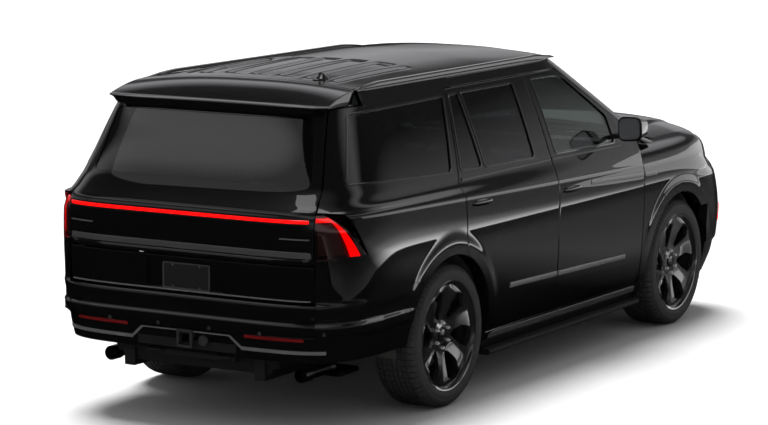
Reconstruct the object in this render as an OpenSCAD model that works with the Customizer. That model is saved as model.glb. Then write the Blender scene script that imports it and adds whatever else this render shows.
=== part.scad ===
// Full-size four-door family car with a long roof, a lifting rear gate and a drop tailgate.
// X points forward, Y to the left, Z up; the origin is on the ground under the middle of the car.

/* [Overall] */
// length over the bumpers
overall_length = 5334; // [5100:1:5600]
// distance between the two axles
wheelbase = 3112; // [2950:1:3250]
// width over the body sides, mirrors left out
body_width = 2029; // [1950:1:2100]
// height of the roof at its middle
roof_height = 1945; // [1900:1:2000]
// distance from the rear bumper to the rear axle
rear_overhang = 1267; // [1200:1:1330]

/* [Wheels] */
// outer diameter of the tyres
tyre_diameter = 835; // [800:1:850]
// width of the tyres
tyre_width = 285; // [255:1:305]
// outer diameter of the rim's lip
rim_diameter = 645; // [580:1:660]
// distance between the middles of the left and right tyres
track = 1706; // [1680:1:1720]
// radius of the bearing spindle in each wheel
spindle_radius = 24; // [20:1:30]
// running clearance of the spindles, pins and bores
pin_clearance = 0.3; // [0.2:0.05:0.5]
// radius of the wheel openings in the body
arch_radius = 475; // [465:1:490]

/* [Body lines] */
// height of the body's lower edge
sill_height = 250; // [230:1:280]
// height of the belt line under the side windows
belt_height = 1285; // [1270:1:1300]
// height of the body side where it meets the roof
roof_edge = 1860; // [1850:1:1870]
// position of the gap between the front and rear doors
door_split = -66; // [-120:1:0]
// position of the front edge of the front doors
door_front = 1138; // [1110:1:1150]
// position of the rear edge of the rear doors
door_rear = -1235; // [-1260:1:-1200]
// width of the gaps round the moving panels
panel_gap = 8; // [7:1:10]
// thickness of the doors below the belt
door_thickness = 80; // [70:1:90]
// thickness of the window frames
frame_thickness = 45; // [38:1:50]
// thickness of the glass
glass_thickness = 5; // [4:0.5:6]
// half width of the hood at its rear
hood_half_width = 859; // [840:1:870]
// half width of the tailgate and the rear gate at the bottom
gate_half_width = 811; // [790:1:815]
// height of the gap between the rear gate and the tailgate
gate_split = 970; // [960:1:980]
// height of the bottom edge of the tailgate
tailgate_bottom = 768; // [764:1:775]

/* [Display] */
// node to draw

/* [Hidden] */

half_w = body_width / 2;
nose_end = overall_length / 2;
tail_end = -overall_length / 2;
rear_axle = tail_end + rear_overhang;
front_axle = rear_axle + wheelbase;
tyre_radius = tyre_diameter / 2;
hub_z = tyre_radius;
wheel_y = track / 2;
nose_start = front_axle - 412;
tail_start = rear_axle - 200;
tail_power = 6;
glass_depth = 750;
glass_power = 5;
wall = 95;
static_gap = 0.5;
hinge_back = 24;
hinge_deep = 32;

black = [0.05, 0.05, 0.055];
dark = [0.16, 0.16, 0.17];
glass_tint = [0.1, 0.12, 0.13, 0.6];
metal = [0.45, 0.45, 0.47];
rubber = [0.09, 0.09, 0.09];
red = [0.6, 0.05, 0.05];
silver = [0.75, 0.75, 0.77];
trim_tan = [0.3, 0.27, 0.24];

// how far the side lies inside the widest line, by height
side_inset = [[250, 95], [330, 66], [420, 38], [600, 14], [850, 2], [1000, 0], [1120, 4], [1200, 26],
  [1285, 60], [1330, 74], [1770, 250], [1860, 294]];
// the same over the front wheels, where the side turns in to the hood
fender_inset = [[250, 95], [330, 66], [420, 38], [600, 14], [850, 2], [1000, 0], [1120, 6], [1190, 34],
  [1230, 82], [1250, 149.5]];
// how far the front lies behind the foremost point, by height
nose_inset = [[250, 70], [400, 25], [550, 0], [700, 0], [900, 18], [1000, 38], [1100, 80], [1250, 160]];
// how far the rear lies ahead of the rearmost point, by height
tail_inset = [[400, 35], [560, 6], [660, 0], [745, 12], [770, 24], [1000, 18], [1215, 6], [1255, 12],
  [1300, 62], [1377, 130], [1753, 283], [1860, 330]];
gate_sides = [[760, 0], [1255, 0], [1300, 16], [1377, 32], [1753, 112], [1800, 121]];

function mix(a, b, t) = a + (b - a) * t;
function clamp(v, lo, hi) = max(lo, min(hi, v));
function root(v, n) = pow(max(0, v), 1 / n);
function side_w(z) = half_w - lookup(z, side_inset);
function fender_w(h) = half_w - lookup(h, fender_inset);
function nose_x(z) = nose_end - lookup(z, nose_inset);
function nose_power(z) = lookup(z, [[700, 7], [950, 5.5], [1100, 3.5]]);
function tail_x(z) = tail_end + lookup(z, tail_inset);
function gate_y(z) = gate_half_width - lookup(z, gate_sides);
// the middle of the windscreen, by height
function screen_x(z) = 1300 - (z - 1418) * 1.625;

// factor by which the plan outline narrows towards the tail
function tail_taper(x, z) = root(1 - pow(clamp((tail_start - x) / (tail_start - tail_x(z)), 0, 1), tail_power),
  tail_power);
function screen_taper(x, z) = root(1 - pow(clamp((x - screen_x(z) + glass_depth) / glass_depth, 0, 1),
  glass_power), glass_power);
function nose_taper(x, z) = root(1 - pow(clamp((x - nose_start) / (nose_x(z) - nose_start), 0, 1),
  nose_power(z)), nose_power(z));
function side_y(x, z) = side_w(z) * tail_taper(x, z) * (z > belt_height - 30 ? screen_taper(x, z) : 1);

// points on the plan outline, with t in degrees from the side (0) to the end (90), d inside it
function rear_point(t, z, d) = [tail_start - (tail_start - tail_x(z) - d) * pow(abs(sin(t)), 2 / tail_power),
  sign(cos(t)) * (side_w(z) - d) * pow(abs(cos(t)), 2 / tail_power), z];
function rear_t_at_y(y, z) = acos(pow(min(1, y / side_w(z)), tail_power / 2));
function rear_t_at_x(x, z) = asin(pow(clamp((tail_start - x) / (tail_start - tail_x(z)), 0, 1), tail_power / 2));
function front_point(t, z, d) = [nose_start + (nose_x(z) - nose_start - d) * pow(abs(sin(t)), 2 / nose_power(z)),
  sign(cos(t)) * (side_w(z) - d) * pow(abs(cos(t)), 2 / nose_power(z)), z];
function front_t_at_y(y, z) = acos(pow(min(1, y / side_w(z)), nose_power(z) / 2));
function front_t_at_x(x, z) = asin(pow(clamp((x - nose_start) / (nose_x(z) - nose_start), 0, 1),
  nose_power(z) / 2));
function screen_at(y, z, d) = screen_x(z) - glass_depth
  + (glass_depth - d) * root(1 - pow(abs(y) / side_w(z), glass_power), glass_power);
function tail_at(y, z) = tail_start - (tail_start - tail_x(z)) * root(1 - pow(abs(y) / side_w(z), tail_power),
  tail_power);

// hood and fender crown
fender_inner = hood_half_width + 6;
function hood_front(y) = nose_start + (nose_x(1100) - nose_start)
  * root(1 - pow(abs(y) / side_w(1100), nose_power(1100)), nose_power(1100));
function hood_crown(y) = 1250 + 65 * (1 - pow(abs(y) / 865, 2.2));
function hood_z(x, y) = 1100 + (hood_crown(y) - 1100) * lookup((x - nose_start) / (hood_front(y) - nose_start),
  [[0, 1], [0.3, 1.02], [0.6, 1.03], [0.8, 0.95], [0.9, 0.8], [0.96, 0.55], [1, 0]]);
function crest(x) = hood_z(x, 865);
function fender_z(x, h) = h < 1000 ? h : 1000 + (h - 1000) * (crest(x) - 1000) / 250;
function nose_share(x, z) = clamp((x - nose_start) / (nose_x(z) - nose_start), 0, 1);
function fender_taper(x, h) = nose_taper(x, h < 1000 ? h : mix(1000, 1100, (h - 1000) / 250));
// the top runs in to a straight edge beside the hood
function fender_y(x, h) = h <= 1120 ? fender_w(h) * fender_taper(x, h) : fender_inner + (fender_w(h) - fender_inner)
  * (fender_w(1120) * fender_taper(x, 1120) - fender_inner) / (fender_w(1120) - fender_inner);

// roof
function roof_front(y) = screen_at(y, roof_edge, 0) - 4;
function roof_crown(x) = lookup(x, [[-2400, 22], [-1985, 37], [-1600, 60], [-1100, 73], [-400, 73], [100, 62],
  [600, 40]]) + roof_height - 1945;
function roof_top(x, y) = roof_edge + 12 + roof_crown(x) * (1 - pow(abs(y) / 724, 2.4));
function roof_z(x, y) = mix(roof_edge + 6, roof_top(x, y), root(clamp((roof_front(y) - x) / 220, 0, 1), 2));

// door edges in the side view; grow moves them outwards
function front_door_front(z, grow) = min(door_front + grow, screen_x(z) - 310 + 1.5 * grow);
function arch_line(z, r) = rear_axle + sqrt(max(0, r * r - pow(z - hub_z, 2)));
function rear_door_rear(z, grow) = max(arch_line(z, arch_radius - grow),
  door_rear - grow + max(0, z - belt_height) * 0.369);

door_heights = [sill_height + 112, 420, 500, 600, 720, 820, 880, 915, 940, 1000, 1060, 1120, 1160, 1200, belt_height,
  1330, 1420, 1540, 1660, 1760, 1800];

// ---- solids from two grids of points -------------------------------------------------
module shell(outer, inner) {
  m = len(outer);
  n = len(outer[0]);
  points = [for (r = outer) for (p = r) p, for (r = inner) for (p = r) p];
  k = m * n;
  faces = [
    for (i = [0 : m - 2]) for (j = [0 : n - 2]) each
      [[i * n + j, (i + 1) * n + j, (i + 1) * n + j + 1], [i * n + j, (i + 1) * n + j + 1, i * n + j + 1],
       [k + i * n + j, k + (i + 1) * n + j + 1, k + (i + 1) * n + j], [k + i * n + j, k + i * n + j + 1,
        k + (i + 1) * n + j + 1]],
    for (i = [0 : m - 2]) each
      [[i * n, k + i * n, k + (i + 1) * n], [i * n, k + (i + 1) * n, (i + 1) * n],
       [i * n + n - 1, k + (i + 1) * n + n - 1, k + i * n + n - 1],
       [i * n + n - 1, (i + 1) * n + n - 1, k + (i + 1) * n + n - 1]],
    for (j = [0 : n - 2]) each
      [[j, k + j + 1, k + j], [j, j + 1, k + j + 1],
       [(m - 1) * n + j, k + (m - 1) * n + j, k + (m - 1) * n + j + 1],
       [(m - 1) * n + j, k + (m - 1) * n + j + 1, (m - 1) * n + j + 1]]];
  polyhedron(points, faces);
}

// a left side panel between two edges given by height
function even(cells) = [for (i = [0 : cells]) i / cells];
function side_point(x, z, d) = x < tail_start ? rear_point(rear_t_at_x(x, z), z, d) : [x, side_y(x, z) - d, z];
module side_panel(heights, columns, rear, front, depth, set = 0) {
  grid = function (d) [for (z = heights) [for (k = columns)
    let (x = mix(rear(z), front(z), k)) side_point(x, z, set + d * depth(x, z))]];
  shell(grid(0), grid(1));
}
module both_sides() {
  children();
  mirror([0, 1, 0]) children();
}
// a prism through the left side with an outline in the side view
module side_prism(outline, from = 600, to = 1200) {
  translate([0, to, 0]) rotate([90, 0, 0]) linear_extrude(to - from) polygon(outline);
}
module rounded_prism(outline, r, from = 600, to = 1200) {
  translate([0, to, 0]) rotate([90, 0, 0]) linear_extrude(to - from)
    offset(r, $fn = 24) offset(-r) polygon(outline);
}
module arch_cut(x, r, from = 560, to = 1100) {
  translate([x, from, hub_z]) rotate([-90, 0, 0]) cylinder(r = r, h = to - from, $fn = 96);
}

// ---- side window outlines --------------------------------------------------------------
front_window = [[5, 1322], [822, 1304], [822, 1478], [420, 1752], [335, 1768], [5, 1772]];
rear_window = [[-890, 1338], [-262, 1328], [-240, 1768], [-890, 1768]];
vent_window = [[-1180, 1346], [-920, 1342], [-920, 1766], [-1035, 1764]];
quarter_window = [[-2352, 1396], [-1285, 1350], [-1100, 1764], [-2162, 1756]];
module window_hole(outline, from = 600) rounded_prism(outline, 24, from);
// a pane that fills the hole with a thin gap round it, set below the skin
module pane(outline, set) {
  xs = [for (p = outline) p[0]];
  intersection() {
    translate([0, 1200, 0]) rotate([90, 0, 0]) linear_extrude(600)
      offset(-0.6) offset(24, $fn = 24) offset(-24) polygon(outline);
    side_panel([1290, 1340, 1420, 1500, 1580, 1660, 1740, 1785], even(6), function (z) min(xs) - 20,
      function (z) max(xs) + 20, function (x, z) glass_thickness, set);
  }
}

// ---- hinges ------------------------------------------------------------------------------
// a pin along Z with a foot that reaches to the post, seen from the axis
module hinge_pin(reach, h = 60) {
  cylinder(r = 5, h = h, center = true, $fn = 32);
  for (s = [-1, 1]) translate([-5, -reach, s * (h / 2 - 7) - 7]) cube([12, reach + 4, 14]);
}
module hinge_strap(dx, dy, h = 28) {
  difference() {
    union() {
      cylinder(r = 9, h = h, center = true, $fn = 32);
      rotate([0, 0, atan2(dy, dx)]) translate([6.5, -4, 1 - h / 2]) cube([norm([dx, dy]) - 6.5, 8, h - 2]);
    }
    cylinder(r = 5 + pin_clearance, h = h + 2, center = true, $fn = 32);
  }
}
front_hinge_x = door_front + panel_gap + hinge_back;
rear_hinge_x = door_split + 4 + hinge_back;
hinge_y = half_w - hinge_deep;
hinge_heights = [760, 1060];
bulkhead_x = 1290;
liner_radius = 500;
liner_bottom = hub_z - 60;
liner_end = 915.5;

// ---- fixed body ---------------------------------------------------------------------------
module body_side() {
  skin_heights = [sill_height, 330, 355, 356.5, 420, 600, 789.6, 790, 850, 900, 1000, 1060, 1120, 1178, 1200,
    1249.5, 1251, 1254, 1256, 1285, 1330, 1380, 1450, 1540, 1640, 1740, 1789, 1791, 1826, roof_edge];
  rear_edge = function (z) z < 789.8 ? rear_axle
    : z <= 1004 ? lookup(z, [[790, -2160], [815, -2183], [1004, -2327]])
    : z <= 1250 ? lookup(z, [[1004, -2327], [1178, -2478], [1250, -2552]])
    : z < 1790 ? tail_at(gate_y(z) + panel_gap, z) : -1985;
  front_edge = function (z) z < 356 ? 1225 : z < 1255 ? 1100 : screen_x(z) - 160;
  depth = function (x, z) lookup(z, [[356, 150], [420, wall], [1240, wall], [1300, 70]]);
  opening = [for (z = door_heights) [front_door_front(z, panel_gap), z],
    [front_door_front(1800, panel_gap), 1806], [rear_door_rear(1800, panel_gap), 1806],
    for (i = [len(door_heights) - 1 : -1 : 0]) [rear_door_rear(door_heights[i], panel_gap), door_heights[i]],
    [rear_door_rear(362, panel_gap), 355], [door_front + panel_gap, 355]];
  difference() {
    side_panel(skin_heights, even(20), rear_edge, front_edge, depth);
    side_prism(opening);
    window_hole(quarter_window);
    arch_cut(rear_axle, arch_radius);
    // room for the wheel liner behind the skin
    intersection() {
      arch_cut(rear_axle, liner_radius + static_gap, 560, liner_end + static_gap);
      translate([rear_axle - 600, 500, liner_bottom - 1]) cube([1200, 500, 700]);
    }
  }
  // hinge post behind the fender, which steps in under the fender's top
  post_in = function (z) lookup(z, [[1060, 62], [1130, 150], [1190, 135], [1252, 112], [1262, 100], [1290, 62]]);
  post_heights = [sill_height + 8, 330, 420, 600, 850, 1060, 1130, 1190, 1252, 1262, 1290, 1320];
  post_grid = function (d) [for (z = post_heights) [for (x = [front_hinge_x + 2, bulkhead_x - static_gap])
    [x, side_w(z) - post_in(z) - d, z]]];
  difference() {
    shell(post_grid(0), post_grid(66));
    arch_cut(front_axle, liner_radius + static_gap);
  }
  // centre post behind the doors
  post = function (z) lookup(z, [[1200, 108], [1300, 60]]);
  heights = [sill_height + 8, 330, 420, 600, 850, 1060, 1200, 1290, 1330, 1540, 1740, 1850];
  shell([for (z = heights) [for (x = [door_split - 70, door_split + 70]) [x, side_y(x, z) - post(z), z]]],
    [for (z = heights) [for (x = [door_split - 70, door_split + 70]) [x, side_y(x, z) - post(z) - 50, z]]]);
  for (z = hinge_heights) {
    translate([front_hinge_x, hinge_y, z]) hinge_pin(50);
    translate([rear_hinge_x, hinge_y, z]) hinge_pin(95);
  }
}
module body_sides() color(black) both_sides() body_side();

module roof() color(black) {
  ys = [for (i = [-8 : 8]) i / 8 * 718];
  row = function (k, drop) [for (y = ys) let (x = mix(-1985, roof_front(y), k)) [x, y, drop
    ? max(roof_edge + static_gap, roof_z(x, y) - (x < -1915 ? 9 : 35)) : roof_z(x, y)]];
  ks = [0, 0.02, 0.06, 0.15, 0.25, 0.35, 0.45, 0.55, 0.65, 0.75, 0.82, 0.88, 0.93, 0.97, 1];
  difference() {
    shell([for (k = ks) row(k, false)], [for (k = ks) row(k, true)]);
    translate([0, 0, 1800]) linear_extrude(200) roof_window(0);
  }
  // brackets for the rear gate's hinges
  for (s = [-1, 1]) translate([gate_hinge_x, s * 480, gate_hinge_z]) {
    rotate([90, 0, 0]) cylinder(r = 5, h = 70, center = true, $fn = 32);
    for (q = [-1, 1]) translate([-6, q * 28 - 7, -6]) cube([60, 14, 26]);
    for (q = [-1, 1]) translate([34, q * 28 - 7, -6]) cube([30, 14, 30]);
  }
}
module roof_window(inset) offset(-inset) offset(40, $fn = 24) offset(-40)
  polygon([[-950, -440], [150, -440], [150, 440], [-950, 440]]);

module body_glass() color(glass_tint) {
  // windscreen
  zs = [1262, 1330, 1420, 1520, 1620, 1720, 1800, roof_edge];
  ys = [for (i = [-10 : 10]) i / 10];
  grid = function (d) [for (z = zs) [for (s = ys) let (y = s * (side_w(z) * 0.921)) [screen_at(y, z, d), y, z]]];
  shell(grid(11), grid(0));
  // roof glass
  intersection() {
    translate([0, 0, 1800]) linear_extrude(200) roof_window(0.6);
    shell([for (x = [-1000, -700, -400, -100, 200]) [for (i = [-5 : 5]) [x, i * 100, roof_top(x, i * 100) - 2]]],
      [for (x = [-1000, -700, -400, -100, 200]) [for (i = [-5 : 5]) [x, i * 100, roof_top(x, i * 100) - 8]]]);
  }
  both_sides() quarter_pane();
}
module quarter_pane() pane(quarter_window, 14);

module roof_rails() color(black) both_sides() {
  xs = [for (i = [0 : 14]) mix(-1975, 440, i / 14)];
  top = function (x) 1874 + 26 * min(1, root(min(x + 1975, 440 - x) / 260, 1.6));
  shell([for (x = xs) [for (y = [672, 706]) [x, y, top(x) - (y > 700 ? 5 : 0)]]],
    [for (x = xs) [for (y = [672, 706]) [x, y, roof_z(x, y) + 2 * static_gap]]]);
}

module firewall() {
  // cowl between the hood and the windscreen
  ys = [for (i = [-8 : 8]) i / 8 * 856];
  cowl = function (k, y) k == 0 ? screen_at(y, 1262, 0) - 40 : hood_rear(y) - panel_gap;
  cowl_top = function (y) min(1261.5, hood_crown(y) - 8);
  shell([for (k = [0, 1]) [for (y = ys) [cowl(k, y), y, cowl_top(y)]]],
    [for (k = [0, 1]) [for (y = ys) [cowl(k, y), y, cowl_top(y) - 8]]]);
  // bulkhead, aprons and radiator support
  translate([bulkhead_x, -845, 440]) cube([40, 1690, 800]);
  translate([1300, -845, 1225]) cube([200, 1690, 12]);
  translate([1480, -845, 1225]) cube([14, 1690, 24]);
  both_sides() translate([1330, 462, 600]) cube([1130, 16, 560]);
  translate([2430, -560, 540]) cube([40, 1120, 530]);
  both_sides() translate([hood_hinge_x, 700, hood_hinge_z]) {
    rotate([90, 0, 0]) cylinder(r = 5, h = 70, center = true, $fn = 32);
    for (q = [-1, 1]) translate([-80, q * 28 - 7, -8]) cube([84, 14, 12]);
  }
}
hood_hinge_x = 1550;
hood_hinge_z = 1236;
function hood_rear(y) = 1600 - 40 * pow(y / 859, 2);

module front_fenders() color(black) both_sides() difference() {
  columns = concat([0, 0.055, 0.075], [for (i = [2 : 14]) i / 14]);
  heights = [362, 420, 500, 600, 700, 759, 761, 830, 889, 891, 940, 1000, 1060, 1089, 1091, 1120, 1155, 1190, 1215,
    1235, 1250];
  front = function (h) h < 760 ? front_axle : h < 890 ? lookup(h, [[760, 2190], [890, 2325]])
    : h < 1090 ? 2290 : 2272;
  grid = function (d) [for (h = heights) [for (i = columns) let (
    x = mix(door_front + panel_gap, front(h), i),
    k = clamp((h - 1120) / 95, 0, 1), t = d * lookup(x, [[1214, 8], [1232, 54]]))
    [x - t * (1 - k) * nose_share(x, h), fender_y(x, h) - t * (1 - 0.95 * k) * fender_taper(x, h),
      fender_z(x, h) - t * 0.9 * k]]];
  shell(grid(0), grid(1));
  arch_cut(front_axle, arch_radius);
}

module front_bumper() color(black) {
  side = [2150, 2190, 2240, 2300, 2331];
  ys = [880, 800, 700, 600, 557, 555, 400, 200, 0];
  tops = [758.5, 758.5, 805, 863, 888];
  ts = function (z) concat([for (x = side) front_t_at_x(x, z)], [for (y = ys) max(front_t_at_x(2336, z),
    front_t_at_y(y, z))]);
  top = concat(tops, [for (y = ys) y > 556 ? 888 : 520]);
  low = 262;
  cells = [0, 0.2, 0.4, 0.6, 0.8, 1];
  half = function (d) [for (k = cells) [for (i = [0 : len(top) - 1]) let (z = mix(low, top[i], k))
    front_point(ts(z)[i], z, d)]];
  full = function (d) [for (r = half(d)) concat(r, [for (i = [len(r) - 2 : -1 : 0]) [r[i][0], -r[i][1], r[i][2]]])];
  difference() {
    shell(full(0), full(55));
    both_sides() arch_cut(front_axle, arch_radius + 2);
  }
}

module grille() color(black) {
  zs = [520.6, 650, 800, 892, 940, 990, 1040, 1084];
  grid = function (d) [for (z = zs) [for (i = [-6 : 6]) let (y = i / 6 * 551,
    p = front_point(front_t_at_y(abs(y), z), z, d)) [p[0], sign(y) * p[1], z]]];
  shell(grid(60), grid(4));
}

module lamps() color(silver) both_sides() {
  zs = [892, 940, 990, 1040, 1084];
  front = function (d) [for (z = zs) [for (i = [0 : 8]) front_point(mix(front_t_at_x(2291, z),
    front_t_at_y(556, z), i / 8), z, d)]];
  shell(front(1), front(70));
  tz = [1002.6, 1060, 1120, 1178, 1247];
  rear = function (d) [for (z = tz) [for (i = [0 : 8]) rear_point(mix(rear_t_at_x(lamp_edge(z), z),
    rear_t_at_y(gate_y(z) + panel_gap, z), i / 8), z, d)]];
  shell(rear(75), rear(1));
}
function lamp_edge(z) = lookup(z, [[1004, -2327], [1178, -2478], [1250, -2552]]) - 0.7;

module rear_bumper() color(black) {
  side = [-1690, -1800, -2000, -2160, -2230, -2326];
  tops = [789.1, 789.1, 789.1, 789.1, 868, 1002];
  ys = [880, gate_half_width + panel_gap + 2, gate_half_width + panel_gap, 600, 400, 200, 0];
  ts = function (z) concat([for (x = side) rear_t_at_x(x, z)], [for (y = ys) max(rear_t_at_x(-2334, z),
    rear_t_at_y(y, z))]);
  top = concat(tops, [for (y = ys) y > gate_half_width + panel_gap + 1 ? 1002 : tailgate_bottom - 13]);
  low = 430;
  cells = [0, 0.2, 0.4, 0.6, 0.8, 1];
  // the inner edge under the tailgate is lower, so that the tailgate can swing
  // and the two columns beside it go straight in
  beside = [len(side) + 1, len(side) + 2];
  half = function (d) [for (k = cells) [for (i = [0 : len(top) - 1])
    let (z = mix(low, top[i] - (d > 0 && top[i] < 760 ? 33 : 0), k), t = ts(z)[i], p = rear_point(t, z, d))
      i == beside[0] || i == beside[1] ? [p[0], rear_point(t, z, 0)[1], z] : p]];
  full = function (d) [for (r = half(d)) concat(r, [for (i = [len(r) - 2 : -1 : 0]) [r[i][0], -r[i][1], r[i][2]]])];
  difference() {
    shell(full(60), full(0));
    both_sides() arch_cut(rear_axle, arch_radius + 2);
    translate([tail_end - 30, -33, hitch_z - 33]) cube([120, 66, 66]);
  }
  // pins that carry the tailgate
  both_sides() translate([tail_pivot_x, gate_half_width - 18, tail_pivot_z]) rotate([-90, 0, 0])
    cylinder(r = 9, h = 40, $fn = 32);
}
tail_pivot_z = tailgate_bottom + 72;
tail_pivot_x = tail_at(gate_half_width, tail_pivot_z) + 26;

module wheel_liners() color(dark) both_sides() {
  for (w = [[front_axle, 478.5, 888], [rear_axle, 600, liner_end]]) difference() {
    translate([w[0], w[1], hub_z]) rotate([-90, 0, 0]) cylinder(r = liner_radius, h = w[2] - w[1], $fn = 96);
    translate([w[0], w[1] + 8, hub_z]) rotate([-90, 0, 0]) cylinder(r = liner_radius - 8, h = w[2] - w[1], $fn = 96);
    translate([w[0] - 600, 400, -300]) cube([1200, 700, liner_bottom + 300]);
  }
}

module running_boards() color(dark) both_sides() {
  translate([-880, 835, 214]) cube([2050, 140, 35.5]);
}

module ladder_frame() color(dark) {
  both_sides() translate([-2560, 400, 300]) cube([5000, 70, 139.5]);
  for (x = [-2500, -1850, -900, 0, 900, 2330]) translate([x, -405, 330]) cube([70, 810, 80]);
  // receiver for a trailer hitch
  difference() {
    translate([tail_end + 25, -32, hitch_z - 32]) cube([155, 64, 64]);
    translate([tail_end + 24, -hitch_inside / 2, hitch_z - hitch_inside / 2]) cube([141, hitch_inside, hitch_inside]);
    translate([tail_end + 85, 40, hitch_z]) rotate([90, 0, 0]) cylinder(r = 8, h = 80, $fn = 32);
  }
  translate([tail_end + 107, -60, 400]) cube([73, 120, 78]);
}

hitch_z = 509;
hitch_inside = 51;

module floor_pan() {
  translate([-1900, -814, 440]) cube([3195.5, 1628, 40]);
  translate([-2480, -780, 440]) cube([600, 1560, 40]);
  both_sides() {
    translate([-850, 806, 355.5]) cube([700, 62, 125]);
    translate([20, 806, 355.5]) cube([1120, 62, 125]);
  }
}

module engine() color(metal) {
  translate([1420, -330, 470]) cube([760, 660, 560]);
  both_sides() translate([1760, 300, 440]) cube([90, 140, 60]);
}

module exhaust() color(metal) {
  both_sides() translate([-2570, 640, 330]) rotate([0, 90, 0]) difference() {
    cylinder(r = 42, h = 420, $fn = 32);
    translate([0, 0, -1]) cylinder(r = 38, h = 150, $fn = 32);
  }
  translate([-2150, -700, 275]) cube([240, 1400, 24.5]);
}

module dashboard() color(dark) translate([1060, -780, 900])
  cube([bulkhead_x - static_gap - 1060, 1560, 260]);

module steering_wheel() color(dark) translate([960, 400, 1060]) rotate([0, -65, 0]) {
  rotate_extrude($fn = 48) translate([175, 0]) circle(14, $fn = 16);
  for (a = [0, 120, 240]) rotate([0, 0, a + 60]) translate([20, -12, -6]) cube([150, 24, 12]);
  cylinder(r = 45, h = 30, center = true, $fn = 32);
  translate([0, 0, -99.5]) cylinder(r = 22, h = 109.5, $fn = 24);
}

module seat(x, y, w) translate([x, y, 480.5]) {
  translate([40, -w / 2 + 40, 0]) cube([420, w - 80, 170]);
  translate([0, -w / 2, 165]) cube([520, w, 140]);
  translate([0, 0, 200]) rotate([0, -14, 0]) {
    translate([-110, 10 - w / 2, 0]) cube([140, w - 20, 640]);
    translate([-95, -130, 600]) cube([85, 260, 190]);
  }
}
module seats() color(trim_tan) both_sides() {
  seat(170, 400, 540);
  seat(-740, 420, 540);
  seat(-1640, 300, 540);
}

module suspension() color(metal) both_sides() {
  // front lower arm with the pin that the knuckle turns on
  translate([front_axle - 35, 200, 250]) cube([70, king_y - 200, 40]);
  translate([front_axle, king_y, 250]) cylinder(r = 30, h = 40, $fn = 32);
  translate([front_axle, king_y, 260]) cylinder(r = king_pin, h = 120, $fn = 32);
  translate([front_axle - 60, 400.5, 250]) cube([120, 69, 49.5]);
  // rear arm, knuckle and spindle
  translate([rear_axle - 40, 200, 259.5]) cube([80, 460, 40]);
  translate([rear_axle - 45, 640, 255]) cube([90, 60, 250]);
  translate([rear_axle, 640, hub_z]) rotate([-90, 0, 0]) cylinder(r = spindle_radius, h = spindle_end - 640,
    $fn = 48);
}
king_y = 765;
king_pin = 14;
spindle_end = wheel_y + 52;

module knuckle() difference() {
  union() {
    translate([front_axle, king_y, 291]) cylinder(r = 30, h = 200, $fn = 32);
    translate([front_axle, king_y, hub_z]) rotate([-90, 0, 0])
      cylinder(r = spindle_radius, h = spindle_end - king_y, $fn = 48);
  }
  translate([front_axle, king_y, 290]) cylinder(r = king_pin + pin_clearance, h = 95, $fn = 32);
}
module knuckle_left() color(metal) knuckle();
module knuckle_right() color(metal) mirror([0, 1, 0]) knuckle();

module wheel(x) translate([x, wheel_y, hub_z]) rotate([-90, 0, 0]) {
  rim_r = rim_diameter / 2;
  difference() {
    union() {
      rotate_extrude($fn = 96) polygon([[rim_r - 26, -128], [rim_r, -134], [rim_r, -122], [rim_r - 14, -100],
        [rim_r - 22, -40], [rim_r - 18, 90], [rim_r - 10, 118], [rim_r, 122], [rim_r, 134], [rim_r - 12, 134],
        [rim_r - 24, 116], [rim_r - 32, 80], [rim_r - 36, -40], [rim_r - 28, -100]]);
      cylinder(r = 88, h = 92, $fn = 64);
      // brake disc on its hat
      translate([0, 0, -40]) cylinder(r = 200, h = 28, $fn = 64);
      translate([0, 0, -40]) cylinder(r = 95, h = 60, $fn = 64);
      for (a = [0 : 5]) rotate([0, 0, a * 60]) spoke(rim_r);
    }
    translate([0, 0, -60]) cylinder(r = spindle_radius + pin_clearance, h = 120, $fn = 48);
  }
}
module spoke(rim_r) for (q = [-1, 1]) translate([0, 0, 66]) linear_extrude(40)
  polygon([[70, q * 2], [70, q * 36], [rim_r - 24, q * 78], [rim_r - 24, q * 42]]);
module tyre(x) translate([x, wheel_y, hub_z]) rotate([-90, 0, 0]) {
  r = tyre_radius;
  w = tyre_width / 2;
  rim_r = rim_diameter / 2;
  rotate_extrude($fn = 96) polygon([[rim_r + 0.3, -134], [rim_r + 8, -w + 2], [rim_r + 40, -w], [r - 40, -w + 6],
    [r - 14, -w + 22], [r - 4, -w + 40], [r, -w + 70], [r, w - 70], [r - 4, w - 40], [r - 14, w - 22],
    [r - 40, w - 6], [rim_r + 40, w], [rim_r + 8, w - 2], [rim_r + 0.3, 134], [rim_r + 0.3, 120],
    [rim_r - 9.5, 116], [rim_r - 9.5, 112], [rim_r + 12, 100], [rim_r + 12, -100], [rim_r + 0.3, -121]]);
}

module underbody() color(dark) difference() {
  union() {
    floor_pan();
    firewall();
  }
  both_sides() {
    arch_cut(rear_axle, liner_radius + static_gap, 595, 1100);
    arch_cut(front_axle, liner_radius + static_gap, 478, 1100);
  }
}

// ---- moving panels -----------------------------------------------------------------------
module hood() color(black) {
  ys = [for (i = [-8 : 8]) i / 8 * hood_half_width];
  ks = [0, 0.08, 0.25, 0.45, 0.6, 0.72, 0.82, 0.89, 0.94, 0.975, 1];
  grid = function (d) [for (k = ks) [for (y = ys) let (x = mix(hood_rear(y), hood_front(y) - 6, k))
    [x - (d > 0 && k > 0.95 ? 12 : 0), y, hood_z(x, y) - (d == 0 ? 0 : k < 0.01 || k > 0.99 ? 8 : 30)]]];
  shell(grid(0), grid(1));
  for (s = [-1, 1]) translate([hood_hinge_x, s * 700, hood_hinge_z]) {
    rotate([90, 0, 0]) hinge_strap(75, -45);
    translate([64, -14, -52]) cube([24, 28, 66]);
  }
}

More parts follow.
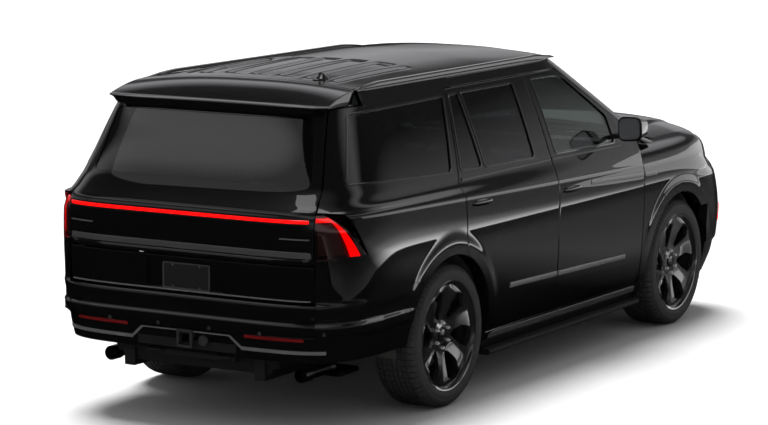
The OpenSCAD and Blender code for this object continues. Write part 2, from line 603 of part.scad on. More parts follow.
gate_hinge_x = -1985 + 30;
gate_hinge_z = 1869;
function spoiler_top(x, y) = mix(roof_z(-1985, y), 1806 + 6 * (1 - pow(abs(y) / 740, 2)),
  pow(clamp((-1993 - x) / 330, 0, 1), 1.8));
module liftgate() color(black) {
  zs = [gate_split + 5, 1060, 1150, 1205, 1225, 1253, 1300, 1377, 1500, 1630, 1753, 1785];
  grid = function (d) [for (z = zs) [for (i = [-10 : 10]) let (y = gate_y(z) * i / 10,
    p = rear_point(rear_t_at_y(abs(y), z), z, d)) [p[0], sign(y) * p[1], z]]];
  difference() {
    shell(grid(0), grid(60));
    gate_window(0);
  }
  ys = [for (i = [-9 : 9]) i / 9];
  rear_x = function (s) tail_at(s * 690, 1753) - 25;
  at = function (k, s) mix(-1993, rear_x(s), k);
  ks = [0, 0.3, 0.6, 0.85, 1];
  // the front face leans back, so that it clears the roof as the gate lifts
  shell([for (k = ks) [for (s = ys) let (x = at(k, s) - (k == 0 ? 47 : 0)) [x, s * mix(706, 730, k),
      abs(s) > 0.9 ? 1798 : mix(1860, 1765, k)]]],
    [for (k = ks) [for (s = ys) let (x = at(k, s)) [x, s * mix(706, 730, k), spoiler_top(x, s * 715)]]]);
  for (s = [-1, 1]) translate([gate_hinge_x, s * 480, gate_hinge_z]) {
    rotate([90, 0, 0]) hinge_strap(-53, -89);
    translate([-115, -14, -95]) cube([65, 28, 90]);
  }
}
module gate_window(inset) translate([-2700, 0, 0]) rotate([90, 0, 90]) linear_extrude(600)
  offset(30 - inset, $fn = 24) offset(-30) polygon([[-725, 1392], [-650, 1745], [650, 1745], [725, 1392]]);
module liftgate_glass() color(glass_tint) intersection() {
  gate_window(0.6);
  shell([for (z = [1380, 1440, 1520, 1600, 1680, 1760]) [for (i = [-8 : 8]) let (y = i / 8 * 745)
    [tail_at(y, z) + 8, y, z]]],
    [for (z = [1380, 1440, 1520, 1600, 1680, 1760]) [for (i = [-8 : 8]) let (y = i / 8 * 745)
    [tail_at(y, z) + 15, y, z]]]);
}
module light_bar() color(red) {
  ys = concat([-785], [for (i = [-9 : 9]) i / 10 * gate_half_width], [785]);
  grid = function (out) [for (z = [1205, 1225]) [for (y = ys) [tail_at(y, z) - out, y, z]]];
  shell(grid(5.5), grid(1));
}
module tailgate() color(black) {
  zs = [tailgate_bottom, 775, 850, 920, gate_split - 5];
  grid = function (d) [for (z = zs) [for (i = [-10 : 10]) let (y = gate_half_width * i / 10,
    p = rear_point(rear_t_at_y(abs(y), z), z, d)) [p[0], sign(y) * p[1], z]]];
  difference() {
    shell(grid(0), grid(60));
    translate([-2700, -255, 782]) cube([2700 + tail_end + 40, 510, 150]);
    for (s = [-1, 1]) translate([tail_pivot_x, s * (gate_half_width - 12), tail_pivot_z]) rotate([90, 0, 0])
      cylinder(r = 9 + pin_clearance, h = 30, center = true, $fn = 32);
  }
}
module number_plate() color(silver) translate([tail_end + 37.5, -153, 785]) cube([2, 306, 140]);

// room round a door's hinge line for the edge of the panel in front of it
module hinge_relief(x) {
  zs = [600, 700, 850, 1000, 1120, 1160];
  translate([x, hinge_y, 0]) rotate_extrude($fn = 96) polygon(concat([[0, 600]],
    [for (z = zs) [norm([hinge_back + panel_gap, side_w(z) - hinge_y]) - 0.3, z]], [[0, 1160]]));
}
module door_skin(heights, columns, rear, front, depth, windows, hinge_x) difference() {
  side_panel(heights, columns, rear, front, depth);
  for (w = windows) window_hole(w);
  hinge_relief(hinge_x);
}
module front_door() {
  // the two extra columns hold the thin strip that covers the rear door's hinges
  thin = [62, 86] / (door_front - door_split - 4);
  door_skin(door_heights, concat([0], thin, [for (i = [2 : 14]) i / 14]),
    function (z) door_split + 4, function (z) front_door_front(z, 0),
    function (x, z) lookup(x, [[door_split + 67, 8], [door_split + 89, lookup(z, [[1200, door_thickness],
      [1300, frame_thickness]])]]), [front_window], front_hinge_x);
  for (z = hinge_heights) translate([front_hinge_x, hinge_y, z]) hinge_strap(-48, -48);
}
module rear_door() {
  difference() {
    rear_door_skin();
    arch_cut(rear_axle, liner_radius + 8, 560, liner_end + 6);
  }
  for (z = hinge_heights) translate([rear_hinge_x, hinge_y, z]) hinge_strap(-48, -48);
}
module rear_door_skin()
  door_skin(door_heights, even(14), function (z) rear_door_rear(z, 0), function (z) door_split - 4,
    function (x, z) lookup(z, [[1200, door_thickness], [1300, frame_thickness]]), [rear_window, vent_window],
    rear_hinge_x);
module mirror_housing() {
  translate([735, 1010, 1400]) rotate([90, 0, 90]) linear_extrude(150) offset(40, $fn = 24)
    polygon([[30, -50], [130, -50], [140, 60], [30, 60]]);
  translate([760, side_w(1330) + static_gap, 1330]) cube([100, 110, 36]);
}
module front_door_left() color(black) front_door();
module front_door_right() color(black) mirror([0, 1, 0]) front_door();
module rear_door_left() color(black) rear_door();
module rear_door_right() color(black) mirror([0, 1, 0]) rear_door();
module front_glass_left() color(glass_tint) pane(front_window, 14);
module front_glass_right() color(glass_tint) mirror([0, 1, 0]) pane(front_window, 14);
module rear_panes() {
  pane(rear_window, 14);
  pane(vent_window, 14);
}
module rear_glass_left() color(glass_tint) rear_panes();
module rear_glass_right() color(glass_tint) mirror([0, 1, 0]) rear_panes();
module mirror_left() color(black) mirror_housing();
module mirror_right() color(black) mirror([0, 1, 0]) mirror_housing();
module wheel_front_left() color(metal) wheel(front_axle);
module wheel_front_right() color(metal) mirror([0, 1, 0]) wheel(front_axle);
module wheel_rear_left() color(metal) wheel(rear_axle);
module wheel_rear_right() color(metal) mirror([0, 1, 0]) wheel(rear_axle);
module tyre_front_left() color(rubber) tyre(front_axle);
module tyre_front_right() color(rubber) mirror([0, 1, 0]) tyre(front_axle);
module tyre_rear_left() color(rubber) tyre(rear_axle);
module tyre_rear_right() color(rubber) mirror([0, 1, 0]) tyre(rear_axle);

ladder_frame();
underbody();
body_sides();
roof();
body_glass();
roof_rails();
front_fenders();
front_bumper();
grille();
lamps();
rear_bumper();
wheel_liners();
running_boards();
engine();
exhaust();
dashboard();
steering_wheel();
seats();
suspension();
hood();
liftgate();
liftgate_glass();
light_bar();
tailgate();
number_plate();
front_door_left();
front_door_right();
rear_door_left();
rear_door_right();
front_glass_left();
front_glass_right();
rear_glass_left();
rear_glass_right();
mirror_left();
mirror_right();
knuckle_left();
knuckle_right();
wheel_front_left();
wheel_front_right();
wheel_rear_left();
wheel_rear_right();
tyre_front_left();
tyre_front_right();
tyre_rear_left();
tyre_rear_right();
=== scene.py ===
import math
import bpy
import bmesh
from mathutils import Matrix, Vector


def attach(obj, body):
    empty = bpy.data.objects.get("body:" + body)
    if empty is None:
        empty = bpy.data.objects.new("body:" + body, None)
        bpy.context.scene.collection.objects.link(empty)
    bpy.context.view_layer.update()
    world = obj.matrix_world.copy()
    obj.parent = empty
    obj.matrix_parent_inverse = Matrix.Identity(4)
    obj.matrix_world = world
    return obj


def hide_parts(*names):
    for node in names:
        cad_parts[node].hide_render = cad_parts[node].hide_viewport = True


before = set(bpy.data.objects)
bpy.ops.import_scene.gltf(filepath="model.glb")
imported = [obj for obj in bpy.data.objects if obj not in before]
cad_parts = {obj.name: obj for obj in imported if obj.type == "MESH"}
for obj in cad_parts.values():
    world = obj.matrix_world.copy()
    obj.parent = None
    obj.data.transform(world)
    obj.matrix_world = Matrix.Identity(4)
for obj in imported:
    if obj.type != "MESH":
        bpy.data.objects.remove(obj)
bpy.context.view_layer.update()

# body lines, in metres
body = {
    "halfWidth": 1.0145, "nose": 2.667, "tail": -2.667, "noseStart": 1.3, "tailStart": -1.6,
    "frontAxle": 1.712, "rearAxle": -1.4, "hub": 0.4175, "wheelY": 0.853, "archRadius": 0.475,
    "gap": 0.008, "belt": 1.285, "roofEdge": 1.86, "doorSplit": -0.066, "doorFront": 1.138,
    "doorRear": -1.235, "gateHalf": 0.811, "crease": 1.16, "screenCurve": 0.75, "fenderTop": 0.865,
    "hingeY": 0.9825, "frontHinge": 1.17, "rearHinge": -0.038,
}


def smoothCurve(pairs):
    # a curve through (place, value) pairs that doesn't overshoot between them
    xs, ys = zip(*pairs)
    steps = [(ys[i + 1] - ys[i]) / (xs[i + 1] - xs[i]) for i in range(len(xs) - 1)]
    inner = [0 if a * b <= 0 else 2 * a * b / (a + b) for a, b in zip(steps, steps[1:])]
    slopes = [steps[0]] + inner + [steps[-1]]

    def value(x):
        if x <= xs[0]:
            return ys[0]
        if x >= xs[-1]:
            return ys[-1]
        i = max(k for k in range(len(xs) - 1) if xs[k] <= x)
        w = xs[i + 1] - xs[i]
        t = (x - xs[i]) / w
        return (ys[i] * (1 + 2 * t) * (1 - t) ** 2 + slopes[i] * w * t * (1 - t) ** 2
                + ys[i + 1] * t * t * (3 - 2 * t) + slopes[i + 1] * w * t * t * (t - 1))
    return value


def brokenLine(pairs):
    def value(x):
        if x <= pairs[0][0]:
            return pairs[0][1]
        for (a, p), (b, q) in zip(pairs, pairs[1:]):
            if x <= b:
                return p + (q - p) * (x - a) / (b - a)
        return pairs[-1][1]
    return value


def mix(a, b, t):
    return a + (b - a) * t


def clamp(v, low=0.0, high=1.0):
    return max(low, min(high, v))


def root(v, n):
    return max(0.0, v) ** (1 / n)


def ease(t):
    t = clamp(t)
    return t * t * (3 - 2 * t)


sideLower = smoothCurve([(0.25, 0.095), (0.33, 0.066), (0.42, 0.038), (0.6, 0.014), (0.85, 0.002), (1.0, 0.0),
                         (1.16, 0.009)])
sideUpper = smoothCurve([(1.16, 0.009), (1.2, 0.024), (1.285, 0.06), (1.33, 0.074), (1.77, 0.25),
                         (1.86, 0.294)])
fenderInset = smoothCurve([(0.25, 0.095), (0.33, 0.066), (0.42, 0.038), (0.6, 0.014), (0.85, 0.002),
                           (1.0, 0.0), (1.12, 0.006), (1.19, 0.034), (1.23, 0.082), (1.25, 0.1495)])
noseInset = smoothCurve([(0.25, 0.07), (0.4, 0.025), (0.55, 0.0), (0.7, 0.0), (0.9, 0.018), (1.0, 0.038),
                         (1.1, 0.08), (1.25, 0.16)])
tailInset = smoothCurve([(0.4, 0.035), (0.56, 0.006), (0.66, 0.0), (0.745, 0.012), (0.77, 0.024),
                         (1.0, 0.018), (1.215, 0.006), (1.255, 0.012), (1.3, 0.062), (1.377, 0.13),
                         (1.753, 0.283), (1.86, 0.33)])
gateSides = smoothCurve([(0.76, 0.0), (1.255, 0.0), (1.3, 0.016), (1.377, 0.032), (1.753, 0.112),
                         (1.8, 0.121)])
nosePower = brokenLine([(0.7, 7), (0.95, 5.5), (1.1, 3.5)])
creaseLine = smoothCurve([(-2.6, 1.24), (-2.153, 1.226), (-0.324, 1.167), (1.104, 1.128), (1.802, 1.115)])


def sideWidth(h):
    return body["halfWidth"] - (sideLower(h) if h < body["crease"] else sideUpper(h))


def fenderWidth(h):
    return body["halfWidth"] - fenderInset(h)


def noseX(z):
    return body["nose"] - noseInset(z)


def tailX(z):
    return body["tail"] + tailInset(z)


def gateY(z):
    return body["gateHalf"] - gateSides(z)


def screenX(z):
    return 1.3 - (z - 1.418) * 1.625


def tailShare(x, z):
    return clamp((body["tailStart"] - x) / (body["tailStart"] - tailX(z)))


def noseShare(x, z):
    return clamp((x - body["noseStart"]) / (noseX(z) - body["noseStart"]))


def tailTaper(x, z):
    return root(1 - tailShare(x, z) ** 6, 6)


def noseTaper(x, z):
    return root(1 - noseShare(x, z) ** nosePower(z), nosePower(z))


def screenTaper(x, z):
    full = root(1 - clamp((x - screenX(z) + body["screenCurve"]) / body["screenCurve"]) ** 5, 5)
    return mix(1, full, ease((z - 1.24) / 0.04))


def tailAt(y, z):
    return body["tailStart"] - (body["tailStart"] - tailX(z)) * root(1 - (abs(y) / sideWidth(z)) ** 6, 6)


def noseAt(y, z):
    n = nosePower(z)
    return body["noseStart"] + (noseX(z) - body["noseStart"]) * root(1 - (abs(y) / sideWidth(z)) ** n, n)


def screenAt(y, z, d=0.0):
    share = root(1 - (abs(y) / sideWidth(z)) ** 5, 5)
    return screenX(z) - body["screenCurve"] + (body["screenCurve"] - d) * share


def lineFade(h, top=1.283):
    # how much of the rising crease line is felt at a height
    if h < body["crease"]:
        return ease((h - 0.93) / (body["crease"] - 0.93))
    return ease((top - h) / (top - body["crease"]))


def sidePoint(x, h, depth=0.0, out=0.0):
    z = h + (creaseLine(x) - body["crease"]) * lineFade(h)
    s, c = tailShare(x, h), tailTaper(x, h)
    y = sideWidth(h) * c * screenTaper(x, h)
    return Vector((x + (depth - out) * s, y - (depth - out) * c, z))


def rearPoint(y, z, depth=0.0):
    # a point of the tail at a width and height, pushed in along the corner's own lines
    x = tailAt(y, z)
    s, c = tailShare(x, z), abs(y) / sideWidth(z)
    return Vector((x + depth * s, y - math.copysign(depth * c, y), z))


def frontPoint(y, z, depth=0.0):
    x = noseAt(y, z)
    s, c = noseShare(x, z), abs(y) / sideWidth(z)
    return Vector((x - depth * s, y - math.copysign(depth * c, y), z))


def hoodFront(y):
    return noseAt(y, 1.1)


def hoodCrown(y):
    return 1.25 + 0.065 * (1 - (abs(y) / body["fenderTop"]) ** 2.2)


hoodDrop = smoothCurve([(0, 1), (0.3, 1.02), (0.6, 1.03), (0.8, 0.95), (0.9, 0.8), (0.96, 0.55), (1, 0)])


def hoodZ(x, y):
    return 1.1 + (hoodCrown(y) - 1.1) * hoodDrop((x - body["noseStart"]) / (hoodFront(y) - body["noseStart"]))


def hoodRear(y):
    return 1.6 - 0.04 * (y / 0.859) ** 2


def fenderPoint(x, h, depth=0.0):
    inner = body["fenderTop"]
    crest = hoodZ(x, inner)
    z = h if h < 1.0 else 1.0 + (h - 1.0) * (crest - 1.0) / 0.25
    if h < 1.12:
        z += (creaseLine(x) - body["crease"]) * ease((h - 0.93) / 0.19) * 0.6
    else:
        z += (creaseLine(x) - body["crease"]) * ease((1.25 - h) / 0.13) * 0.6
    taperAt = h if h < 1.0 else mix(1.0, 1.1, (h - 1.0) / 0.25)
    taper = noseTaper(x, taperAt)
    if h <= 1.12:
        y = fenderWidth(h) * taper
    else:
        y = inner + ((fenderWidth(h) - inner) * (fenderWidth(1.12) * noseTaper(x, 1.048) - inner)
                     / (fenderWidth(1.12) - inner))
    k = clamp((h - 1.12) / 0.095)
    return Vector((x - depth * (1 - k) * noseShare(x, h), y - depth * (1 - 0.95 * k) * taper,
                   z - depth * 0.9 * k))


roofCrown = smoothCurve([(-2.4, 0.022), (-1.985, 0.037), (-1.6, 0.06), (-1.1, 0.073), (-0.4, 0.073),
                         (0.1, 0.062), (0.6, 0.04)])


def roofFront(y):
    return screenAt(y, body["roofEdge"]) - 0.004


def roofTop(x, y):
    return body["roofEdge"] + 0.012 + roofCrown(x) * (1 - (abs(y) / 0.724) ** 2.4)


def roofZ(x, y):
    return mix(body["roofEdge"] + 0.006, roofTop(x, y), root(clamp((roofFront(y) - x) / 0.22), 2))


def frontDoorFront(z):
    return min(body["doorFront"], screenX(z) - 0.31)


def archLine(z, r):
    return body["rearAxle"] + root(r * r - (z - body["hub"]) ** 2, 2)


def rearDoorRear(z):
    return max(archLine(z, body["archRadius"]), body["doorRear"] + max(0, z - body["belt"]) * 0.369)


def upright(half, low, high):
    # the outline of a rectangle about the middle line, as (y, z)
    return [(-half, low), (half, low), (half, high), (-half, high)]


# mesh helpers
def slab(outer, inner):
    # a closed plate from two sets of rows, made from a grid that is pushed to both faces
    up, across = len(outer) - 1, len(outer[0]) - 1
    bm = bmesh.new()
    bmesh.ops.create_grid(bm, x_segments=across, y_segments=up, size=0.5)
    lifted = bmesh.ops.extrude_face_region(bm, geom=bm.faces[:])
    bmesh.ops.translate(bm, verts=[v for v in lifted["geom"] if isinstance(v, bmesh.types.BMVert)],
                        vec=(0, 0, 1))
    for v in bm.verts:
        rows = inner if v.co.z > 0.5 else outer
        v.co = rows[round((v.co.y + 0.5) * up)][round((v.co.x + 0.5) * across)]
    bmesh.ops.recalc_face_normals(bm, faces=bm.faces[:])
    return bm


def skin(rows):
    # an open sheet through rows of points
    up, across = len(rows) - 1, len(rows[0]) - 1
    bm = bmesh.new()
    bmesh.ops.create_grid(bm, x_segments=across, y_segments=up, size=0.5)
    for v in bm.verts:
        v.co = rows[round((v.co.y + 0.5) * up)][round((v.co.x + 0.5) * across)]
    return bm


def between(marks, most):
    # heights or places at the marks and evenly between them, no further apart than most
    out = [marks[0]]
    for a, b in zip(marks, marks[1:]):
        n = max(1, math.ceil(abs(b - a) / most))
        out += [mix(a, b, (i + 1) / n) for i in range(n)]
    return out


def evenly(points, count):
    # the same line with its points at equal distances
    lengths = [0.0]
    for a, b in zip(points, points[1:]):
        lengths.append(lengths[-1] + (Vector(b) - Vector(a)).length)
    out, k = [], 0
    for i in range(count + 1):
        want = lengths[-1] * i / count
        while k < len(points) - 2 and lengths[k + 1] < want:
            k += 1
        span = lengths[k + 1] - lengths[k]
        out.append(Vector(points[k]).lerp(Vector(points[k + 1]), (want - lengths[k]) / span if span else 0))
    return out


def soften(bm, width=0.003, segments=2, angle=0.6):
    sharp = [e for e in bm.edges if len(e.link_faces) == 2 and e.calc_face_angle(0) > angle]
    bmesh.ops.bevel(bm, geom=sharp, offset=width, offset_type="OFFSET", segments=segments, profile=0.5,
                    affect="EDGES", clamp_overlap=True, material=-1)
    return bm


def mirrored(bm):
    other = bm.copy()
    bmesh.ops.scale(other, vec=(1, -1, 1), verts=other.verts[:])
    bmesh.ops.reverse_faces(other, faces=other.faces[:])
    return other


def asMesh(name, bm):
    mesh = bpy.data.meshes.new(name)
    bm.to_mesh(mesh)
    bm.free()
    return mesh


def linked(name, data):
    thing = bpy.data.objects.new(name, data)
    bpy.context.scene.collection.objects.link(thing)
    return thing


def moved(bm, vec):
    bmesh.ops.translate(bm, verts=bm.verts[:], vec=vec)
    return bm


def turned(bm, angle, axis):
    bmesh.ops.rotate(bm, verts=bm.verts[:], matrix=Matrix.Rotation(angle, 3, axis))
    return bm


def joined(*parts):
    # one bmesh out of several, and the parts are freed
    whole = bmesh.new()
    for part in parts:
        mesh = asMesh("part", part)
        whole.from_mesh(mesh)
        bpy.data.meshes.remove(mesh)
    return whole


def bothSides(bm):
    return joined(mirrored(bm), bm)


def addPiece(name, bm, finish, rides, replaces=(), slot=None, sharp=0.7, weighted=True):
    mesh = asMesh(name, bm)
    mesh.shade_smooth()
    mesh.set_sharp_from_angle(angle=sharp)
    piece = linked(name, mesh)
    for one in (finish if isinstance(finish, (list, tuple)) else [finish]):
        piece.data.materials.append(one)
    if weighted:
        smooth = piece.modifiers.new("weighted", "WEIGHTED_NORMAL")
        smooth.keep_sharp = True
        smooth.weight = 60
    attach(piece, rides)
    if replaces:
        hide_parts(*replaces)
    return piece


def carve(bm, *cutters, operation="DIFFERENCE"):
    # cuts closed shapes out of a plate with the exact solver and gives a new bmesh
    block = linked("block", asMesh("block", bm))
    tools = [linked("tool", asMesh("tool", cutter)) for cutter in cutters]
    for tool in tools:
        mod = block.modifiers.new("cut", "BOOLEAN")
        mod.operation = operation
        mod.solver = "EXACT"
        mod.object = tool
    done = block.evaluated_get(bpy.context.evaluated_depsgraph_get())
    mesh = bpy.data.meshes.new_from_object(done)
    out = bmesh.new()
    out.from_mesh(mesh)
    for thing in [block] + tools:
        old = thing.data
        bpy.data.objects.remove(thing)
        bpy.data.meshes.remove(old)
    bpy.data.meshes.remove(mesh)
    bmesh.ops.remove_doubles(out, verts=out.verts[:], dist=0.00002)
    return out


def outlineFace(outline, corner=0.0, segments=6):
    # a flat face in XZ from an outline, its corners rounded
    bm = bmesh.new()
    face = bm.faces.new([bm.verts.new((x, 0, z)) for x, z in outline])
    if corner:
        bmesh.ops.bevel(bm, geom=bm.verts[:], offset=corner, offset_type="OFFSET", segments=segments,
                        profile=0.5, affect="VERTICES", clamp_overlap=True, material=-1)
    bmesh.ops.recalc_face_normals(bm, faces=bm.faces[:])
    return bm


def outlineBlock(outline, low, high, corner=0.0, axis="Y"):
    # a prism along Y, or along X with the outline given as (y, z)
    bm = outlineFace(outline, corner)
    lifted = bmesh.ops.extrude_face_region(bm, geom=bm.faces[:])
    bmesh.ops.translate(bm, verts=[v for v in lifted["geom"] if isinstance(v, bmesh.types.BMVert)],
                        vec=(0, high - low, 0))
    moved(bm, (0, low, 0))
    if axis == "X":
        for v in bm.verts:
            v.co = (v.co.y, v.co.x, v.co.z)
    bmesh.ops.recalc_face_normals(bm, faces=bm.faces[:])
    return bm


def roundBar(start, end, radius, segments=24, far=None):
    bm = bmesh.new()
    a, b = Vector(start), Vector(end)
    turn = (b - a).to_track_quat("Z", "Y").to_matrix().to_4x4()
    bmesh.ops.create_cone(bm, cap_ends=True, segments=segments, radius1=radius, radius2=radius if far is None
                          else far, depth=(b - a).length, matrix=Matrix.Translation((a + b) / 2) @ turn)
    return bm


def box(low, high, edge=0.0, segments=2):
    bm = bmesh.new()
    size = [b - a for a, b in zip(low, high)]
    middle = [(a + b) / 2 for a, b in zip(low, high)]
    bmesh.ops.create_cube(bm, size=1, matrix=Matrix.Translation(middle) @ Matrix.Diagonal((*size, 1)))
    if edge:
        bmesh.ops.bevel(bm, geom=bm.edges[:], offset=edge, offset_type="OFFSET", segments=segments,
                        profile=0.5, affect="EDGES", clamp_overlap=True, material=-1)
    return bm


def spun(profile, steps, axis=(0, 1, 0), centre=(0, 0, 0)):
    # a closed turning of (radius, along) points about an axis along Y
    bm = bmesh.new()
    ring = [bm.verts.new((r, a, 0)) for r, a in profile]
    edges = [bm.edges.new(pair) for pair in zip(ring, ring[1:] + ring[:1])]
    bmesh.ops.spin(bm, geom=ring + edges, cent=(0, 0, 0), axis=axis, dvec=(0, 0, 0), angle=math.tau,
                   steps=steps, use_merge=True, use_normal_flip=False, use_duplicate=False)
    bmesh.ops.remove_doubles(bm, verts=bm.verts[:], dist=0.00001)
    bmesh.ops.recalc_face_normals(bm, faces=bm.faces[:])
    return moved(bm, centre)


# shader groups, each built once
def newGroup(name, inputs, outputs):
    tree = bpy.data.node_groups.new(name, "ShaderNodeTree")
    for label, kind, value in inputs:
        socket = tree.interface.new_socket(name=label, in_out="INPUT", socket_type="NodeSocket" + kind)
        if value is not None:
            socket.default_value = value
    for label, kind in outputs:
        tree.interface.new_socket(name=label, in_out="OUTPUT", socket_type="NodeSocket" + kind)
    return tree, tree.nodes.new("NodeGroupInput"), tree.nodes.new("NodeGroupOutput")


def addNode(tree, kind, links=(), **values):
    node = tree.nodes.new("ShaderNode" + kind)
    for key, value in values.items():
        setattr(node, key, value)
    for socket, source in (links.items() if links else ()):
        if isinstance(source, bpy.types.NodeSocket):
            tree.links.new(source, node.inputs[socket])
        else:
            node.inputs[socket].default_value = source
    return node


def buildFineSurface():
    # slow and fine unevenness of a surface: roughness round a middle, and a height for Bump
    tree, given, out = newGroup("fineSurface", [("Vector", "Vector", None), ("Scale", "Float", 40.0),
                                ("Roughness", "Float", 0.3), ("Spread", "Float", 0.05)],
                                [("Roughness", "Float"), ("Height", "Float")])
    place = given.outputs["Vector"]
    slow = addNode(tree, "TexNoise", {"Vector": place, "Scale": 2.3, "Detail": 4.0})
    fine = addNode(tree, "TexNoise", {"Vector": place, "Scale": given.outputs["Scale"], "Detail": 3.0})
    both = addNode(tree, "Math", {0: slow.outputs["Fac"], 1: fine.outputs["Fac"]}, operation="ADD")
    centred = addNode(tree, "Math", {0: both.outputs[0], 1: -1.0}, operation="ADD")
    spread = addNode(tree, "Math", {0: centred.outputs[0], 1: given.outputs["Spread"]}, operation="MULTIPLY")
    rough = addNode(tree, "Math", {0: spread.outputs[0], 1: given.outputs["Roughness"]},
                    operation="ADD", use_clamp=True)
    tree.links.new(rough.outputs[0], out.inputs["Roughness"])
    tree.links.new(fine.outputs["Fac"], out.inputs["Height"])
    return tree


def buildRoadDust():
    # a thin film of dust that thins out with height above the ground
    inputs = [("Vector", "Vector", None), ("Top", "Float", 0.6), ("Amount", "Float", 0.3),
              ("Scale", "Float", 9.0)]
    tree, given, out = newGroup("roadDust", inputs, [("Mask", "Float")])
    place, top = given.outputs["Vector"], given.outputs["Top"]
    height = addNode(tree, "SeparateXYZ", {0: place}).outputs["Z"]
    low = addNode(tree, "MapRange", {"Value": height, "From Min": top, "From Max": 0.0})
    cloud = addNode(tree, "TexNoise", {"Vector": place, "Scale": given.outputs["Scale"], "Detail": 6.0,
                                       "Roughness": 0.65})
    patchy = addNode(tree, "Math", {0: low.outputs[0], 1: cloud.outputs["Fac"]}, operation="MULTIPLY")
    amount = addNode(tree, "Math", {0: patchy.outputs[0], 1: given.outputs["Amount"]},
                     operation="MULTIPLY", use_clamp=True)
    tree.links.new(amount.outputs[0], out.inputs["Mask"])
    return tree


def buildMouldedGrain():
    # pebbled grain of moulded plastic and of leather
    tree, given, out = newGroup("mouldedGrain", [("Vector", "Vector", None), ("Scale", "Float", 400.0),
                                ("Stretch", "Float", 0.5)], [("Height", "Float"), ("Tone", "Float")])
    cells = addNode(tree, "TexVoronoi", {"Vector": given.outputs["Vector"], "Scale": given.outputs["Scale"]},
                    feature="DISTANCE_TO_EDGE")
    wide = addNode(tree, "MapRange", {"Value": cells.outputs["Distance"], "From Max": 0.12})
    tone = addNode(tree, "TexNoise", {"Vector": given.outputs["Vector"], "Scale": 6.0, "Detail": 5.0})
    height = addNode(tree, "Math", {0: wide.outputs[0], 1: given.outputs["Stretch"]}, operation="MULTIPLY")
    tree.links.new(height.outputs[0], out.inputs["Height"])
    tree.links.new(tone.outputs["Fac"], out.inputs["Tone"])
    return tree


def buildEdgeWear():
    # bare edges of a coated part
    inputs = [("Vector", "Vector", None), ("Amount", "Float", 0.5), ("Scale", "Float", 60.0)]
    tree, given, out = newGroup("edgeWear", inputs, [("Mask", "Float")])
    place, size = given.outputs["Vector"], given.outputs["Scale"]
    bend = addNode(tree, "NewGeometry").outputs["Pointiness"]
    edge = addNode(tree, "MapRange", {"Value": bend, "From Min": 0.52, "From Max": 0.6})
    cloud = addNode(tree, "TexNoise", {"Vector": place, "Scale": size, "Detail": 5.0})
    patchy = addNode(tree, "Math", {0: edge.outputs[0], 1: cloud.outputs["Fac"]}, operation="MULTIPLY")
    amount = addNode(tree, "Math", {0: patchy.outputs[0], 1: given.outputs["Amount"]},
                     operation="MULTIPLY", use_clamp=True)
    tree.links.new(amount.outputs[0], out.inputs["Mask"])
    return tree


fineSurface, roadDust = buildFineSurface(), buildRoadDust()
mouldedGrain, edgeWear = buildMouldedGrain(), buildEdgeWear()
bareMetal, dustColour = (0.35, 0.34, 0.33, 1), (0.13, 0.12, 0.105, 1)

